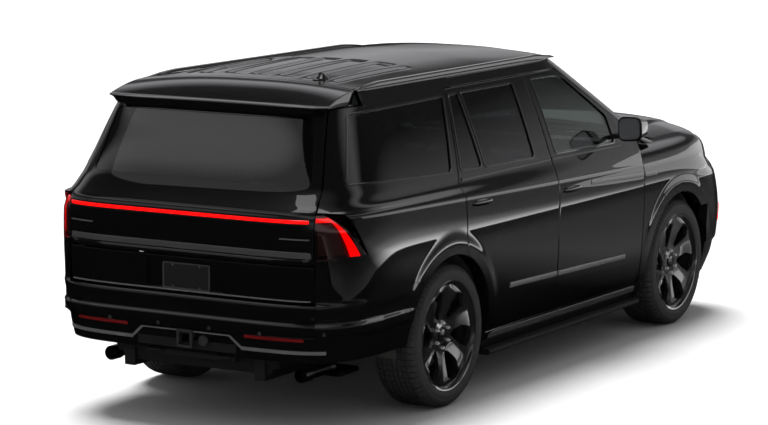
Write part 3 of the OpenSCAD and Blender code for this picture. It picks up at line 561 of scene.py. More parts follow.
finishes = {
    # colour, second colour it drifts to, roughness and its spread, grain scale, bump depth in metres
    "bodyBlack": {"colour": (0.002, 0.002, 0.0022), "drift": (0.003, 0.003, 0.0033), "rough": 0.3,
        "spread": 0.03, "scale": 900, "bump": 0.00002, "coat": 1.0, "coatRough": 0.015, "dustTop": 0.5,
        "dust": 0.01, "spec": 0.03},
    "glossTrim": {"colour": (0.005, 0.005, 0.005), "drift": (0.008, 0.008, 0.008), "rough": 0.12,
        "spread": 0.03, "scale": 300, "bump": 0.00001, "coat": 0.6, "coatRough": 0.03, "dustTop": 0.4,
        "dust": 0.04},
    "satinTrim": {"colour": (0.012, 0.012, 0.012), "drift": (0.02, 0.02, 0.02), "rough": 0.42,
        "spread": 0.08, "scale": 700, "bump": 0.00008, "grain": 900, "dustTop": 0.5, "dust": 0.15},
    "roughPlastic": {"colour": (0.016, 0.016, 0.017), "drift": (0.03, 0.029, 0.028), "rough": 0.68,
        "spread": 0.12, "scale": 200, "bump": 0.0002, "grain": 380, "dustTop": 1.2, "dust": 0.35},
    "brightTrim": {"colour": (0.62, 0.63, 0.65), "drift": (0.7, 0.7, 0.71), "rough": 0.16, "spread": 0.08,
        "scale": 500, "bump": 0.00001, "metal": 1.0},
    "silverPaint": {"colour": (0.55, 0.55, 0.56), "drift": (0.62, 0.62, 0.63), "rough": 0.32,
        "spread": 0.06, "scale": 500, "bump": 0.00001, "metal": 0.35},
    "trimGrey": {"colour": (0.12, 0.12, 0.122), "drift": (0.16, 0.16, 0.162), "rough": 0.36,
        "spread": 0.08, "scale": 500, "bump": 0.00002, "metal": 0.4},
    "sillGrey": {"colour": (0.03, 0.03, 0.031), "drift": (0.045, 0.045, 0.046), "rough": 0.34,
        "spread": 0.08, "scale": 500, "bump": 0.00005, "coat": 0.5, "coatRough": 0.2, "dustTop": 0.5,
        "dust": 0.1},
    # near-black copy of roughPlastic for parts under and behind the car: its darkness is painted shade, the
    # dust on it is real
    "paintedShadePlastic": {"colour": (0.002, 0.002, 0.002), "drift": (0.004, 0.004, 0.004), "rough": 0.75,
        "spread": 0.1, "scale": 200, "bump": 0.0002, "grain": 380, "dustTop": 0.5, "dust": 0.06},
    # near-black exhaust metal: the darkness is painted shade under the bumper, the bare edges are real wear
    "exhaustShadeDark": {"colour": (0.015, 0.015, 0.015), "drift": (0.03, 0.029, 0.028), "rough": 0.38,
        "spread": 0.12, "scale": 140, "bump": 0.0001, "metal": 1.0, "wear": 0.4},
    "darkMetal": {"colour": (0.05, 0.05, 0.052), "drift": (0.08, 0.078, 0.075), "rough": 0.45,
        "spread": 0.15, "scale": 120, "bump": 0.0002, "metal": 0.8, "wear": 0.7, "dustTop": 0.8,
        "dust": 0.4},
    "castMetal": {"colour": (0.3, 0.3, 0.31), "drift": (0.22, 0.21, 0.2), "rough": 0.5, "spread": 0.15,
        "scale": 150, "bump": 0.0003, "metal": 1.0, "dustTop": 0.9, "dust": 0.3},
    "rimBlack": {"colour": (0.006, 0.006, 0.0065), "drift": (0.012, 0.012, 0.012), "rough": 0.2,
        "spread": 0.05, "scale": 400, "bump": 0.00002, "coat": 1.0, "coatRough": 0.03, "dustTop": 0.9,
        "dust": 0.08},
    "tyreRubber": {"colour": (0.014, 0.014, 0.0145), "drift": (0.026, 0.026, 0.026), "rough": 0.72,
        "spread": 0.12, "scale": 260, "bump": 0.0002, "grain": 700, "dustTop": 0.85, "dust": 0.06},
    "seatLeather": {"colour": (0.045, 0.036, 0.03), "drift": (0.07, 0.057, 0.047), "rough": 0.48,
        "spread": 0.1, "scale": 90, "bump": 0.0004, "grain": 330},
    "cabinPlastic": {"colour": (0.025, 0.025, 0.027), "drift": (0.04, 0.04, 0.042), "rough": 0.6,
        "spread": 0.1, "scale": 200, "bump": 0.0003, "grain": 420},
    "plateBlank": {"colour": (0.006, 0.006, 0.007), "drift": (0.01, 0.01, 0.01), "rough": 0.35,
        "spread": 0.06, "scale": 300, "bump": 0.00005, "coat": 0.4, "coatRough": 0.1},
    "screenBlack": {"colour": (0.004, 0.005, 0.007), "drift": (0.006, 0.008, 0.012), "rough": 0.08,
        "spread": 0.02, "scale": 60, "bump": 0.00001, "coat": 1.0, "coatRough": 0.02},
}


def newMaterial(name):
    mat = bpy.data.materials.new(name)
    mat.use_nodes = True
    return mat, mat.node_tree, mat.node_tree.nodes["Principled BSDF"]


def mixed(tree, share, first, second):
    # a mix of two colours, each a socket or a value
    return addNode(tree, "Mix", {0: share, 6: first, 7: second}, data_type="RGBA").outputs[2]


def setInputs(node, values):
    for label, value in values.items():
        node.inputs[label].default_value = value


def groupNode(tree, group, place, values):
    node = addNode(tree, "Group", node_tree=group)
    tree.links.new(place, node.inputs["Vector"])
    setInputs(node, values)
    return node


def makeFinish(name, look):
    mat, tree, shader = newMaterial(name)
    place = addNode(tree, "TexCoord").outputs["Object"]
    fine = groupNode(tree, fineSurface, place, {"Scale": look["scale"], "Roughness": look["rough"],
                                               "Spread": look["spread"]})
    tree.links.new(fine.outputs["Roughness"], shader.inputs["Roughness"])
    cloud = addNode(tree, "TexNoise", {"Vector": place, "Scale": 3.1, "Detail": 5.0})
    colour = mixed(tree, cloud.outputs["Fac"], (*look["colour"], 1), (*look["drift"], 1))
    height = fine.outputs["Height"]
    if "grain" in look:
        grain = groupNode(tree, mouldedGrain, place, {"Scale": look["grain"]})
        height = addNode(tree, "Math", {0: grain.outputs["Height"], 1: height}, operation="ADD").outputs[0]
        colour = mixed(tree, grain.outputs["Tone"], colour, (*look["drift"], 1))
    if "wear" in look:
        worn = groupNode(tree, edgeWear, place, {"Amount": look["wear"]})
        colour = mixed(tree, worn.outputs["Mask"], colour, bareMetal)
    if "dust" in look:
        dust = groupNode(tree, roadDust, place, {"Top": look["dustTop"], "Amount": look["dust"]})
        colour = mixed(tree, dust.outputs["Mask"], colour, dustColour)
    tree.links.new(colour, shader.inputs["Base Color"])
    bump = addNode(tree, "Bump", {"Height": height, "Strength": 0.6, "Distance": look["bump"]})
    tree.links.new(bump.outputs["Normal"], shader.inputs["Normal"])
    setInputs(shader, {"Metallic": look.get("metal", 0.0), "Specular IOR Level": look.get("spec", 0.5),
                       "Coat Weight": look.get("coat", 0.0), "Coat Roughness": look.get("coatRough", 0.03)})
    return mat


def makeGlass(name, tint):
    mat, tree, shader = newMaterial(name)
    place = addNode(tree, "TexCoord").outputs["Object"]
    cloud = addNode(tree, "TexNoise", {"Vector": place, "Scale": 1.7, "Detail": 3.0})
    colour = mixed(tree, cloud.outputs["Fac"], (*tint, 1), (*[c * 1.08 for c in tint], 1))
    tree.links.new(colour, shader.inputs["Base Color"])
    setInputs(shader, {"Roughness": 0.0, "Transmission Weight": 1.0, "IOR": 1.5})
    return mat


def makeLamp(name, colour, glow, lines=240.0):
    # a lit band behind fine optics
    mat, tree, shader = newMaterial(name)
    place = addNode(tree, "TexCoord").outputs["Object"]
    bars = addNode(tree, "TexWave", {"Vector": place, "Scale": lines, "Distortion": 0.0}, bands_direction="Y")
    shade = mixed(tree, bars.outputs["Fac"], (*[c * 0.75 for c in colour], 1), (*colour, 1))
    tree.links.new(shade, shader.inputs["Base Color"])
    tree.links.new(shade, shader.inputs["Emission Color"])
    setInputs(shader, {"Emission Strength": glow, "Roughness": 0.15, "Coat Weight": 1.0})
    return mat


finish = {name: makeFinish(name, look) for name, look in finishes.items()}
finish["privacyGlass"] = makeGlass("privacyGlass", (0.085, 0.09, 0.095))
finish["clearGlass"] = makeGlass("clearGlass", (0.5, 0.56, 0.53))
finish["lensClear"] = makeGlass("lensClear", (0.9, 0.9, 0.92))
finish["lensRed"] = makeGlass("lensRed", (0.8, 0.5, 0.5))
finish["lampRed"] = makeLamp("lampRed", (1.0, 0.001, 0.001), 1.3)
# the red reflectors get a faint glow although they are no lamps: painted glow
finish["reflectorPaintedGlow"] = makeLamp("reflectorPaintedGlow", (0.11, 0.003, 0.004), 0.06)
finish["lampWhite"] = makeLamp("lampWhite", (0.85, 0.86, 0.9), 0.3)
print("finishes ready")

# studio
studio = {"spot": (-16.213, -9.186, 3.603), "yaw": 30.24, "pitch": -8.3, "roll": 0.19, "frameWidths": 3.8956,
          "sun": 4.2, "sunSpread": 34, "sunAim": (-0.25, -0.3, -1), "floorGlow": 5.5}

softboxes = {
    # place, aim, size and power of each soft panel; they light only what is glossy
    "frontRight": ((9.0, -6.5, 1.5), (0, -1.0, 1.0), (14.0, 2.2), 120),
    "above": ((-1.0, 0.0, 7.0), (-1.0, 0, 0), (7.0, 2.2), 120),
    "behindLeft": ((-11.0, 6.0, 3.2), (-2.6, 0, 1.2), (7.0, 1.6), 8),
    "behind": ((-9.0, 4.0, 8.0), (-2.6, 0, 1.2), (9.0, 6.0), 85),
}

# tone of the sky against height, for what is glossy
skyField = [(0.0, 0.02), (0.02, 0.2), (0.1, 0.45), (0.2, 0.4), (0.27, 0.06), (0.36, 0.06), (0.43, 0.85),
            (0.49, 0.75), (0.6, 0.04), (0.8, 0.04), (1.0, 0.3)]
# tone of the floor against its distance to the right, as gloss sees it
floorField = [(-10.0, 0.03), (-6.5, 0.12), (-5.2, 0.35), (-4.32, 1.0), (-4.26, 0.002), (-3.95, 0.002),
              (-3.5, 0.04), (-2.2, 0.05), (-1.3, 0.01)]
# and how far it fades from the rear to the front
floorFade = [(-12.0, 0.05), (1.6, 0.05), (3.3, 1.0), (4.6, 0.8), (9.0, 0.3)]


def addCamera():
    yaw, pitch, roll = (math.radians(studio[k]) for k in ("yaw", "pitch", "roll"))
    ahead = Vector((math.cos(pitch) * math.cos(yaw), math.cos(pitch) * math.sin(yaw), math.sin(pitch)))
    right = ahead.cross(Vector((0, 0, 1))).normalized()
    up = right.cross(ahead)
    right, up = right * math.cos(roll) + up * math.sin(roll), up * math.cos(roll) - right * math.sin(roll)
    data = bpy.data.cameras.new("camera")
    data.sensor_width = 36
    data.lens = 36 * studio["frameWidths"]
    data.clip_end = 200
    camera = linked("camera", data)
    turn = Matrix((right, up, -ahead)).transposed().to_4x4()
    camera.matrix_world = Matrix.Translation(studio["spot"]) @ turn
    bpy.context.scene.camera = camera


def addPanelLight(name, spot, target, size, power):
    data = bpy.data.lights.new(name, "AREA")
    data.shape = "RECTANGLE"
    data.size, data.size_y = size
    data.energy = power
    lamp = linked(name, data)
    turn = (Vector(target) - Vector(spot)).to_track_quat("-Z", "Y").to_matrix().to_4x4()
    lamp.matrix_world = Matrix.Translation(spot) @ turn
    lamp.visible_camera = False
    lamp.visible_diffuse = False


def fillRamp(tree, source, stops, blue=1.0):
    # a ramp of greys from (place, tone) stops
    ramp = addNode(tree, "ValToRGB", {0: source})
    band = ramp.color_ramp
    for i, (place, tone) in enumerate(stops):
        stop = band.elements[i] if i < 2 else band.elements.new(place)
        stop.position = place
        stop.color = (tone, tone, tone * blue, 1)
    return ramp.outputs[0]


def addWorld():
    bpy.context.scene.view_settings.view_transform = "Standard"
    world = bpy.data.worlds.new("studio")
    bpy.context.scene.world = world
    world.use_nodes = True
    tree = world.node_tree
    back = tree.nodes["Background"]
    path = addNode(tree, "LightPath")
    aim = addNode(tree, "TexCoord").outputs["Generated"]
    height = addNode(tree, "SeparateXYZ", {0: aim}).outputs["Z"]
    ramp = fillRamp(tree, height, skyField, 1.03)
    soft = mixed(tree, path.outputs["Is Diffuse Ray"], ramp, (0.3, 0.3, 0.3, 1))
    shown = mixed(tree, path.outputs["Is Camera Ray"], soft, (1.05, 1.05, 1.05, 1))
    tree.links.new(shown, back.inputs["Color"])


def addFloor():
    floor = bmesh.new()
    bmesh.ops.create_grid(floor, x_segments=1, y_segments=1, size=60)
    ground = linked("floor", asMesh("floor", floor))
    mat, tree, shader = newMaterial("paleFloor")
    setInputs(shader, {"Base Color": (0.9, 0.9, 0.9, 1), "Roughness": 0.9, "Specular IOR Level": 0.0})
    # what gloss sees of the floor: dark under the car, then a light field with a sharp near edge
    spot = addNode(tree, "SeparateXYZ", {0: addNode(tree, "TexCoord").outputs["Object"]})
    across = addNode(tree, "MapRange", {"Value": spot.outputs["Y"], "From Min": -10.0, "From Max": 0.0})
    field = fillRamp(tree, across.outputs[0], [(1 + y / 10, tone) for y, tone in floorField])
    along = addNode(tree, "MapRange", {"Value": spot.outputs["X"], "From Min": -12.0, "From Max": 12.0})
    fade = fillRamp(tree, along.outputs[0], [((x + 12) / 24, tone) for x, tone in floorFade])
    power = addNode(tree, "Math", {0: fade, 1: studio["floorGlow"]}, operation="MULTIPLY")
    mirrorLook = addNode(tree, "Emission", {"Color": field, "Strength": power.outputs[0]})
    path = addNode(tree, "LightPath")
    both = addNode(tree, "MixShader", {0: path.outputs["Is Glossy Ray"], 1: shader.outputs[0],
                                       2: mirrorLook.outputs[0]})
    tree.links.new(both.outputs[0], tree.nodes["Material Output"].inputs["Surface"])
    ground.data.materials.append(mat)


def addSun():
    # a wide high light from the front left throws the soft shadow
    data = bpy.data.lights.new("overhead", "SUN")
    data.energy = studio["sun"]
    data.angle = math.radians(studio["sunSpread"])
    lamp = linked("overhead", data)
    lamp.matrix_world = Vector(studio["sunAim"]).to_track_quat("-Z", "Y").to_matrix().to_4x4()
    lamp.visible_glossy = False


addCamera()
addWorld()
addFloor()
for name, panel in softboxes.items():
    addPanelLight(name, *panel)
addSun()
print("studio ready")


# sweeps and surface frames
def sweep(path, outs, section, closed=False):
    # a section of (across, out) points carried along a path; outs are the outward directions on the way
    rows = []
    count = len(path)
    for i, p in enumerate(path):
        a = path[(i - 1) % count] if closed or i else path[0]
        b = path[(i + 1) % count] if closed or i < count - 1 else path[-1]
        along = (b - a).normalized()
        out = (outs[i] - along * outs[i].dot(along)).normalized()
        across = along.cross(out)
        rows.append([p + across * s + out * o for s, o in section + section[:1]])
    if closed:
        rows.append([v.copy() for v in rows[0]])
    bm = skin(rows)
    bmesh.ops.remove_doubles(bm, verts=bm.verts[:], dist=0.00002)
    if not closed:
        bmesh.ops.holes_fill(bm, edges=[e for e in bm.edges if e.is_boundary], sides=0)
    bmesh.ops.recalc_face_normals(bm, faces=bm.faces[:])
    return bm


def flatBar(width, high, low=0.0, edge=0.3):
    # half-round cross-section, its base at low and its crown at high
    w = width / 2
    return [(-w, low), (-w, mix(low, high, 1 - edge)), (-w * 0.8, mix(low, high, 0.95)), (0, high),
            (w * 0.8, mix(low, high, 0.95)), (w, mix(low, high, 1 - edge)), (w, low)]


def sideOut(x, h):
    a = sidePoint(x - 0.01, h), sidePoint(x + 0.01, h)
    b = sidePoint(x, h - 0.01), sidePoint(x, h + 0.01)
    return (b[1] - b[0]).cross(a[1] - a[0]).normalized()


def alongSide(points, count, depth=0.0):
    # a path on the left side through (x, h) points, with its outward directions
    flat = evenly([Vector((x, 0, h)) for x, h in points], count)
    return [sidePoint(p.x, p.z, depth) for p in flat], [sideOut(p.x, p.z) for p in flat]


flare = {"rise": 0.0055, "flat": 0.535, "end": 0.6}


def flareRise(x, h):
    # the raised band round the wheel openings
    rise = 0.0
    for axle in (body["frontAxle"], body["rearAxle"]):
        r = math.hypot(x - axle, h - body["hub"])
        rise = max(rise, flare["rise"] * (1 - ease((r - flare["flat"]) / (flare["end"] - flare["flat"]))))
    return rise


def sideRows(heights, rear, front, cells, depth=0.0, flared=True):
    rows = []
    for h in heights:
        xs = [mix(rear(h), front(h), i / cells) for i in range(cells + 1)]
        rows.append([sidePoint(x, h, depth, flareRise(x, h) if flared else 0) for x in xs])
    return rows


def sidePlate(heights, rear, front, cells, thick=0.035):
    return slab(sideRows(heights, rear, front, cells), sideRows(heights, rear, front, cells, thick, False))


def archCutter(axle, radius):
    return spun([(radius, 0.5), (radius, 1.2), (0.001, 1.2), (0.001, 0.5)], 128, (0, 1, 0),
                (axle, 0, body["hub"]))


windows = {
    "front": [(0.005, 1.322), (0.822, 1.304), (0.822, 1.478), (0.42, 1.752), (0.335, 1.768), (0.005, 1.772)],
    "rear": [(-0.89, 1.338), (-0.262, 1.328), (-0.24, 1.768), (-0.89, 1.768)],
    "vent": [(-1.18, 1.346), (-0.92, 1.342), (-0.92, 1.766), (-1.035, 1.764)],
    "quarter": [(-2.352, 1.396), (-1.285, 1.35), (-1.1, 1.764), (-2.162, 1.756)],
    "corner": 0.024,
}


def windowCutter(name, grow=0.0):
    bm = outlineBlock(windows[name], 0.5, 1.2, windows["corner"])
    if grow:
        middle = sum((v.co for v in bm.verts), Vector()) / len(bm.verts)
        size = [max(v.co[k] for v in bm.verts) - min(v.co[k] for v in bm.verts) for k in (0, 2)]
        moved(bm, -middle)
        bmesh.ops.scale(bm, verts=bm.verts[:], vec=(1 + 2 * grow / size[0], 1, 1 + 2 * grow / size[1]))
        moved(bm, middle)
    return bm


def paneFor(name, depth=0.006, thick=0.005, grow=0.006):
    # a curved pane that fills a side window
    xs = [x for x, z in windows[name]]
    heights = between([1.28, 1.8], 0.03)
    cells = max(8, round((max(xs) - min(xs)) / 0.05))
    rear, front = (lambda h: min(xs) - 0.03), (lambda h: max(xs) + 0.03)
    sheet = slab(sideRows(heights, rear, front, cells, depth, False),
                 sideRows(heights, rear, front, cells, depth + thick, False))
    return carve(sheet, windowCutter(name, grow), operation="INTERSECT")


def windowTrim(name, width=0.012, high=0.0035, inset=-0.004):
    # a thin raised moulding round a side window
    face = outlineFace(windows[name], windows["corner"], 5)
    loop = [v.co.copy() for v in face.faces[:][0].verts]
    face.free()
    middle = sum(loop, Vector()) / len(loop)
    fine = []
    for a, b in zip(loop, loop[1:] + loop[:1]):
        fine += [a.lerp(b, k / 12) for k in range(12)] if (b - a).length > 0.1 else [a]
    points = [sidePoint(p.x, p.z) for p in fine]
    outs = [sideOut(p.x, p.z) for p in fine]
    return sweep(points, outs, flatBar(width, high, inset), closed=True)


# fixed sides of the body
sides = {"cells": 110, "step": 0.014, "thick": 0.04, "sillTop": 0.355}


def quarterEdge(h):
    if h < 0.7898:
        return body["rearAxle"]
    if h <= 1.004:
        return brokenLine([(0.79, -2.16), (0.815, -2.183), (1.004, -2.327)])(h)
    if h <= 1.25:
        return brokenLine([(1.004, -2.327), (1.178, -2.478), (1.25, -2.552)])(h)
    return tailAt(gateY(h) + body["gap"], h) if h < 1.79 else -1.985


def makeBodySide():
    # quarter panel behind the rear door
    heights = between([0.52, 0.7896, 0.7902, 1.004, 1.16, 1.25, 1.256, 1.285, 1.33, 1.789, 1.791, 1.86],
                      sides["step"])
    panel = sidePlate(heights, quarterEdge, lambda h: -0.98 if h > 1.3 else -1.12, sides["cells"],
                      sides["thick"])
    door = [(rearDoorRear(z) - body["gap"], z) for z in between([0.4, 0.7, 0.9, 1.285, 1.8], 0.03)]
    opening = outlineBlock(door + [(door[-1][0], 1.806), (0.2, 1.806), (0.2, 0.4)], 0.5, 1.2)
    panel = carve(panel, archCutter(body["rearAxle"], body["archRadius"]), opening, windowCutter("quarter"))
    # sill under the doors, roof side above them and the windscreen pillar
    sill = sidePlate(between([0.25, 0.3, sides["sillTop"]], 0.02), lambda h: -0.96, lambda h: 1.225, 60, 0.06)
    cant = sidePlate(between([1.806, 1.86], 0.012), lambda h: -1.06, lambda h: screenX(h) - 0.31 + 0.012, 90,
                     0.04)
    pillar = sidePlate(between([1.256, 1.33, 1.86], 0.03), lambda h: screenX(h) - 0.298,
                       lambda h: screenX(h) - 0.16, 12, 0.035)
    return joined(soften(sill), soften(cant), soften(pillar), panel)


def makePost():
    # centre post between the door openings, behind the doors
    def post(h):
        return brokenLine([(1.2, 0.108), (1.3, 0.06)])(h)
    heights = between([0.258, 1.2, 1.3, 1.85], 0.08)
    outer = [[sidePoint(x, h, post(h)) for x in (-0.136, -0.1, -0.03, 0.004)] for h in heights]
    inner = [[sidePoint(x, h, post(h) + 0.05) for x in (-0.136, -0.1, -0.03, 0.004)] for h in heights]
    return soften(slab(outer, inner), 0.008, 3)


def makeHingePost():
    depthAt = brokenLine([(1.06, 0.062), (1.13, 0.15), (1.19, 0.135), (1.252, 0.112), (1.262, 0.1),
                          (1.29, 0.062)])
    heights = between([0.258, 0.42, 1.06, 1.13, 1.19, 1.252, 1.29, 1.32], 0.09)
    xs = (1.172, 1.23, 1.289)
    outer = [[Vector((x, sideWidth(h) - depthAt(h), h)) for x in xs] for h in heights]
    inner = [[Vector((x, sideWidth(h) - depthAt(h) - 0.066, h)) for x in xs] for h in heights]
    return carve(slab(outer, inner), archCutter(body["frontAxle"], 0.5005))


def addBodySides():
    addPiece("quarterPanels", bothSides(makeBodySide()), finish["bodyBlack"], "body", ["body_sides"],
             "body_paint")
    posts = joined(makePost(), makeHingePost())
    addPiece("doorPosts", bothSides(posts), finish["bodyBlack"], "body", slot="body_paint")
    addPiece("quarterGlass", bothSides(paneFor("quarter")), finish["privacyGlass"], "body", slot="glass")
    addPiece("quarterTrims", bothSides(windowTrim("quarter")), finish["glossTrim"], "body", slot="black_trim")
    print("body sides ready")


# doors
door = {"thick": 0.05, "bottom": 0.362, "top": 1.8, "step": 0.013, "cells": 92}


def frontDoorRear(h):
    return body["doorSplit"] + 0.004


def hingeRelief(x):
    # the room that the edge of a door leaves round its hinge line
    profile = [(math.hypot(0.032, sideWidth(z) - body["hingeY"]) - 0.0003, z)
               for z in (0.6, 0.7, 0.85, 1.0, 1.12, 1.16)]
    bm = spun([(r, z) for r, z in [(0.0005, 0.6)] + profile + [(0.0005, 1.16)]], 96)
    return moved(turned(bm, math.pi / 2, "X"), (x, body["hingeY"], 0))


def makeDoor(rear, front, holes, hinge, arch=False):
    marks = [door["bottom"], 0.6, 0.93, 1.0, 1.16, 1.2, 1.285, 1.33, 1.77, door["top"]]
    heights = between(marks, door["step"])
    depth = brokenLine([(1.2, 0.075), (1.3, 0.042)])
    outer = sideRows(heights, rear, front, door["cells"])
    inner = []
    for h in heights:
        a, b = rear(h), front(h)
        inner.append([])
        for i in range(door["cells"] + 1):
            x = mix(a, b, i / door["cells"])
            d = depth(h)
            if hinge > 1 and x < body["doorSplit"] + 0.089:
                d = mix(0.008, d, ease((x - body["doorSplit"] - 0.062) / 0.027))
            inner[-1].append(sidePoint(x, h, d))
    bm = soften(slab(outer, inner), 0.0025, 2, 0.9)
    cutters = [windowCutter(name) for name in holes] + [hingeRelief(hinge)]
    if arch:
        cutters.append(archCutter(body["rearAxle"], body["archRadius"]))
        cutters.append(spun([(0.508, 0.5), (0.508, 0.9215), (0.001, 0.9215), (0.001, 0.5)], 128, (0, 1, 0),
                            (body["rearAxle"], 0, body["hub"])))
    return carve(bm, *cutters)


def perSide(bm):
    # the left piece and its mirrored twin, with the sides they belong to
    return (("left", bm), ("right", mirrored(bm)))


def addForBoth(name, bm, look, rides, replaces=(), slot=None, **options):
    for side, part in perSide(bm):
        nodes = [node + "_" + side for node in replaces]
        addPiece(name + side.capitalize(), part, look, rides + "_" + side, nodes, slot, **options)


handle = {"half": 0.13, "high": 0.021, "proud": 0.019, "wall": 0.004, "steps": 24, "around": 16}


def makeHandle(x, h):
    # a flush lens-shaped grip
    steps, around = handle["steps"], handle["around"]
    rows, back = [], []
    for i in range(steps + 1):
        t = i / steps * 2 - 1
        p, out = sidePoint(x + t * handle["half"], h), sideOut(x + t * handle["half"], h)
        lens = root(1 - abs(t) ** 2.4, 2)
        row = []
        for k in range(around + 1):
            a = math.pi * (k / around)
            up = Vector((0, 0, 1)) * (-math.cos(a) * handle["high"] * max(lens, 0.02))
            row.append(p + up + out * (math.sin(a) * handle["proud"] * lens - 0.001))
        rows.append(row)
        back.append([q - out * handle["wall"] for q in row])
    return slab(rows, back)


def addDoors():
    front = makeDoor(frontDoorRear, frontDoorFront, ["front"], body["frontHinge"])
    addForBoth("frontDoor", front, finish["bodyBlack"], "front_door", ["front_door"], "body_paint")
    rear = makeDoor(rearDoorRear, lambda h: body["doorSplit"] - 0.004, ["rear", "vent"], body["rearHinge"],
                    True)
    addForBoth("rearDoor", rear, finish["bodyBlack"], "rear_door", ["rear_door"], "body_paint")
    print("doors ready")
    addForBoth("frontDoorGlass", paneFor("front"), finish["clearGlass"], "front_door", ["front_glass"],
               "glass")
    panes = joined(paneFor("rear"), paneFor("vent"))
    addForBoth("rearDoorGlass", panes, finish["privacyGlass"], "rear_door", ["rear_glass"], "glass")
    addForBoth("frontWindowTrim", windowTrim("front"), finish["glossTrim"], "front_door", slot="black_trim")
    addForBoth("rearWindowTrim", joined(windowTrim("rear"), windowTrim("vent")), finish["glossTrim"],
               "rear_door", slot="black_trim")
    for name, x0, x1, rides in (("frontDoor", -0.056, 0.89, "front_door"),
                                ("rearDoor", -1.2, -0.076, "rear_door")):
        # bright moulding along the belt, and the black blade and strip low on the door
        belt = [(x, brokenLine([(-2.315, 1.3), (0.007, 1.297), (0.89, 1.283)])(x))
                for x in (x0, mix(x0, x1, 0.5), x1)]
        points, outs = alongSide(belt, 20)
        addForBoth(name + "BeltTrim", sweep(points, outs, flatBar(0.02, 0.005, -0.002)), finish["satinTrim"],
                   rides, slot="black_trim")
        low = (-0.688 if x0 < -0.1 else x0, min(x1, 0.995))
        blade = [(x, mix(0.612, 0.565, (x + 0.688) / 1.683)) for x in (low[0], low[1])]
        points, outs = alongSide(blade, 16)
        addForBoth(name + "Blade", sweep(points, outs, flatBar(0.03, 0.007, -0.002)), finish["trimGrey"],
                   rides, slot="black_trim")
        grip = (0.112, 1.1) if x0 > -0.1 else (-1.05, 1.125)
        addForBoth(name + "Handle", makeHandle(*grip), finish["bodyBlack"], rides, slot="body_paint")
    # bare name plate strip on the front doors and fenders
    for name, x0, x1, rides in (("doorPlate", 0.38, 1.125, "front_door"),
                                ("fenderPlate", 1.16, 1.33, "body")):
        line = [(x, mix(1.118, 1.09, (x - 0.367) / 0.969)) for x in (x0, mix(x0, x1, 0.5), x1)]
        points, outs = alongSide(line, 16)
        plate = sweep(points, outs, flatBar(0.03, 0.003, -0.002))
        if rides == "body":
            addPiece(name, bothSides(plate), finish["sillGrey"], rides, slot="black_trim")
        else:
            addForBoth(name, plate, finish["sillGrey"], rides, slot="black_trim")
    print("door trims ready")


addBodySides()
addDoors()


def uprightBlock(outline, low, high, corner=0.0):
    # a prism along Z with its outline given as (x, y)
    bm = outlineBlock(outline, low, high, corner)
    for v in bm.verts:
        v.co = (v.co.x, v.co.z, v.co.y)
    bmesh.ops.recalc_face_normals(bm, faces=bm.faces[:])
    return bm


# roof
roof = {"ribs": (0.09, 0.27, 0.45), "ribRise": 0.009, "ribHalf": 0.035, "ribRear": -1.9, "ribFront": -1.02,
        "glassX": (-0.95, 0.15), "glassY": 0.44, "railY": 0.689, "railRear": -1.975, "railFront": 0.44,
        "screenThick": 0.011, "screenWide": 0.921}


def roofRib(x, y):
    side = min(abs(abs(y) - c) for c in roof["ribs"])
    ends = ease((x - roof["ribRear"]) / 0.09) * ease((roof["ribFront"] - x) / 0.09)
    field = ends * ease((0.535 - abs(y)) / 0.03)
    return -roof["ribRise"] * field * (1 - ease((roof["ribHalf"] - side) / 0.016))


def roofOpening(inset):
    x0, x1 = roof["glassX"][0] + inset, roof["glassX"][1] - inset
    y = roof["glassY"] - inset
    return uprightBlock([(x0, -y), (x1, -y), (x1, y), (x0, y)], 1.8, 2.0, 0.04)


def makeRoof():
    xs = between([0, 0.04, 0.25, 0.9, 1], 0.009)
    ys = between([-0.718, -0.64, 0.64, 0.718], 0.0125)
    outer, inner = [], []
    for k in xs:
        outer.append([Vector((mix(-1.985, roofFront(y), k), y, 0)) for y in ys])
        for p in outer[-1]:
            p.z = roofZ(p.x, p.y) + roofRib(p.x, p.y)
        inner.append([Vector((p.x, p.y, max(1.8605, p.z - (0.009 if p.x < -1.915 else 0.02))))
                      for p in outer[-1]])
    bm = slab(outer, inner)
    return carve(soften(bm), roofOpening(0.0))


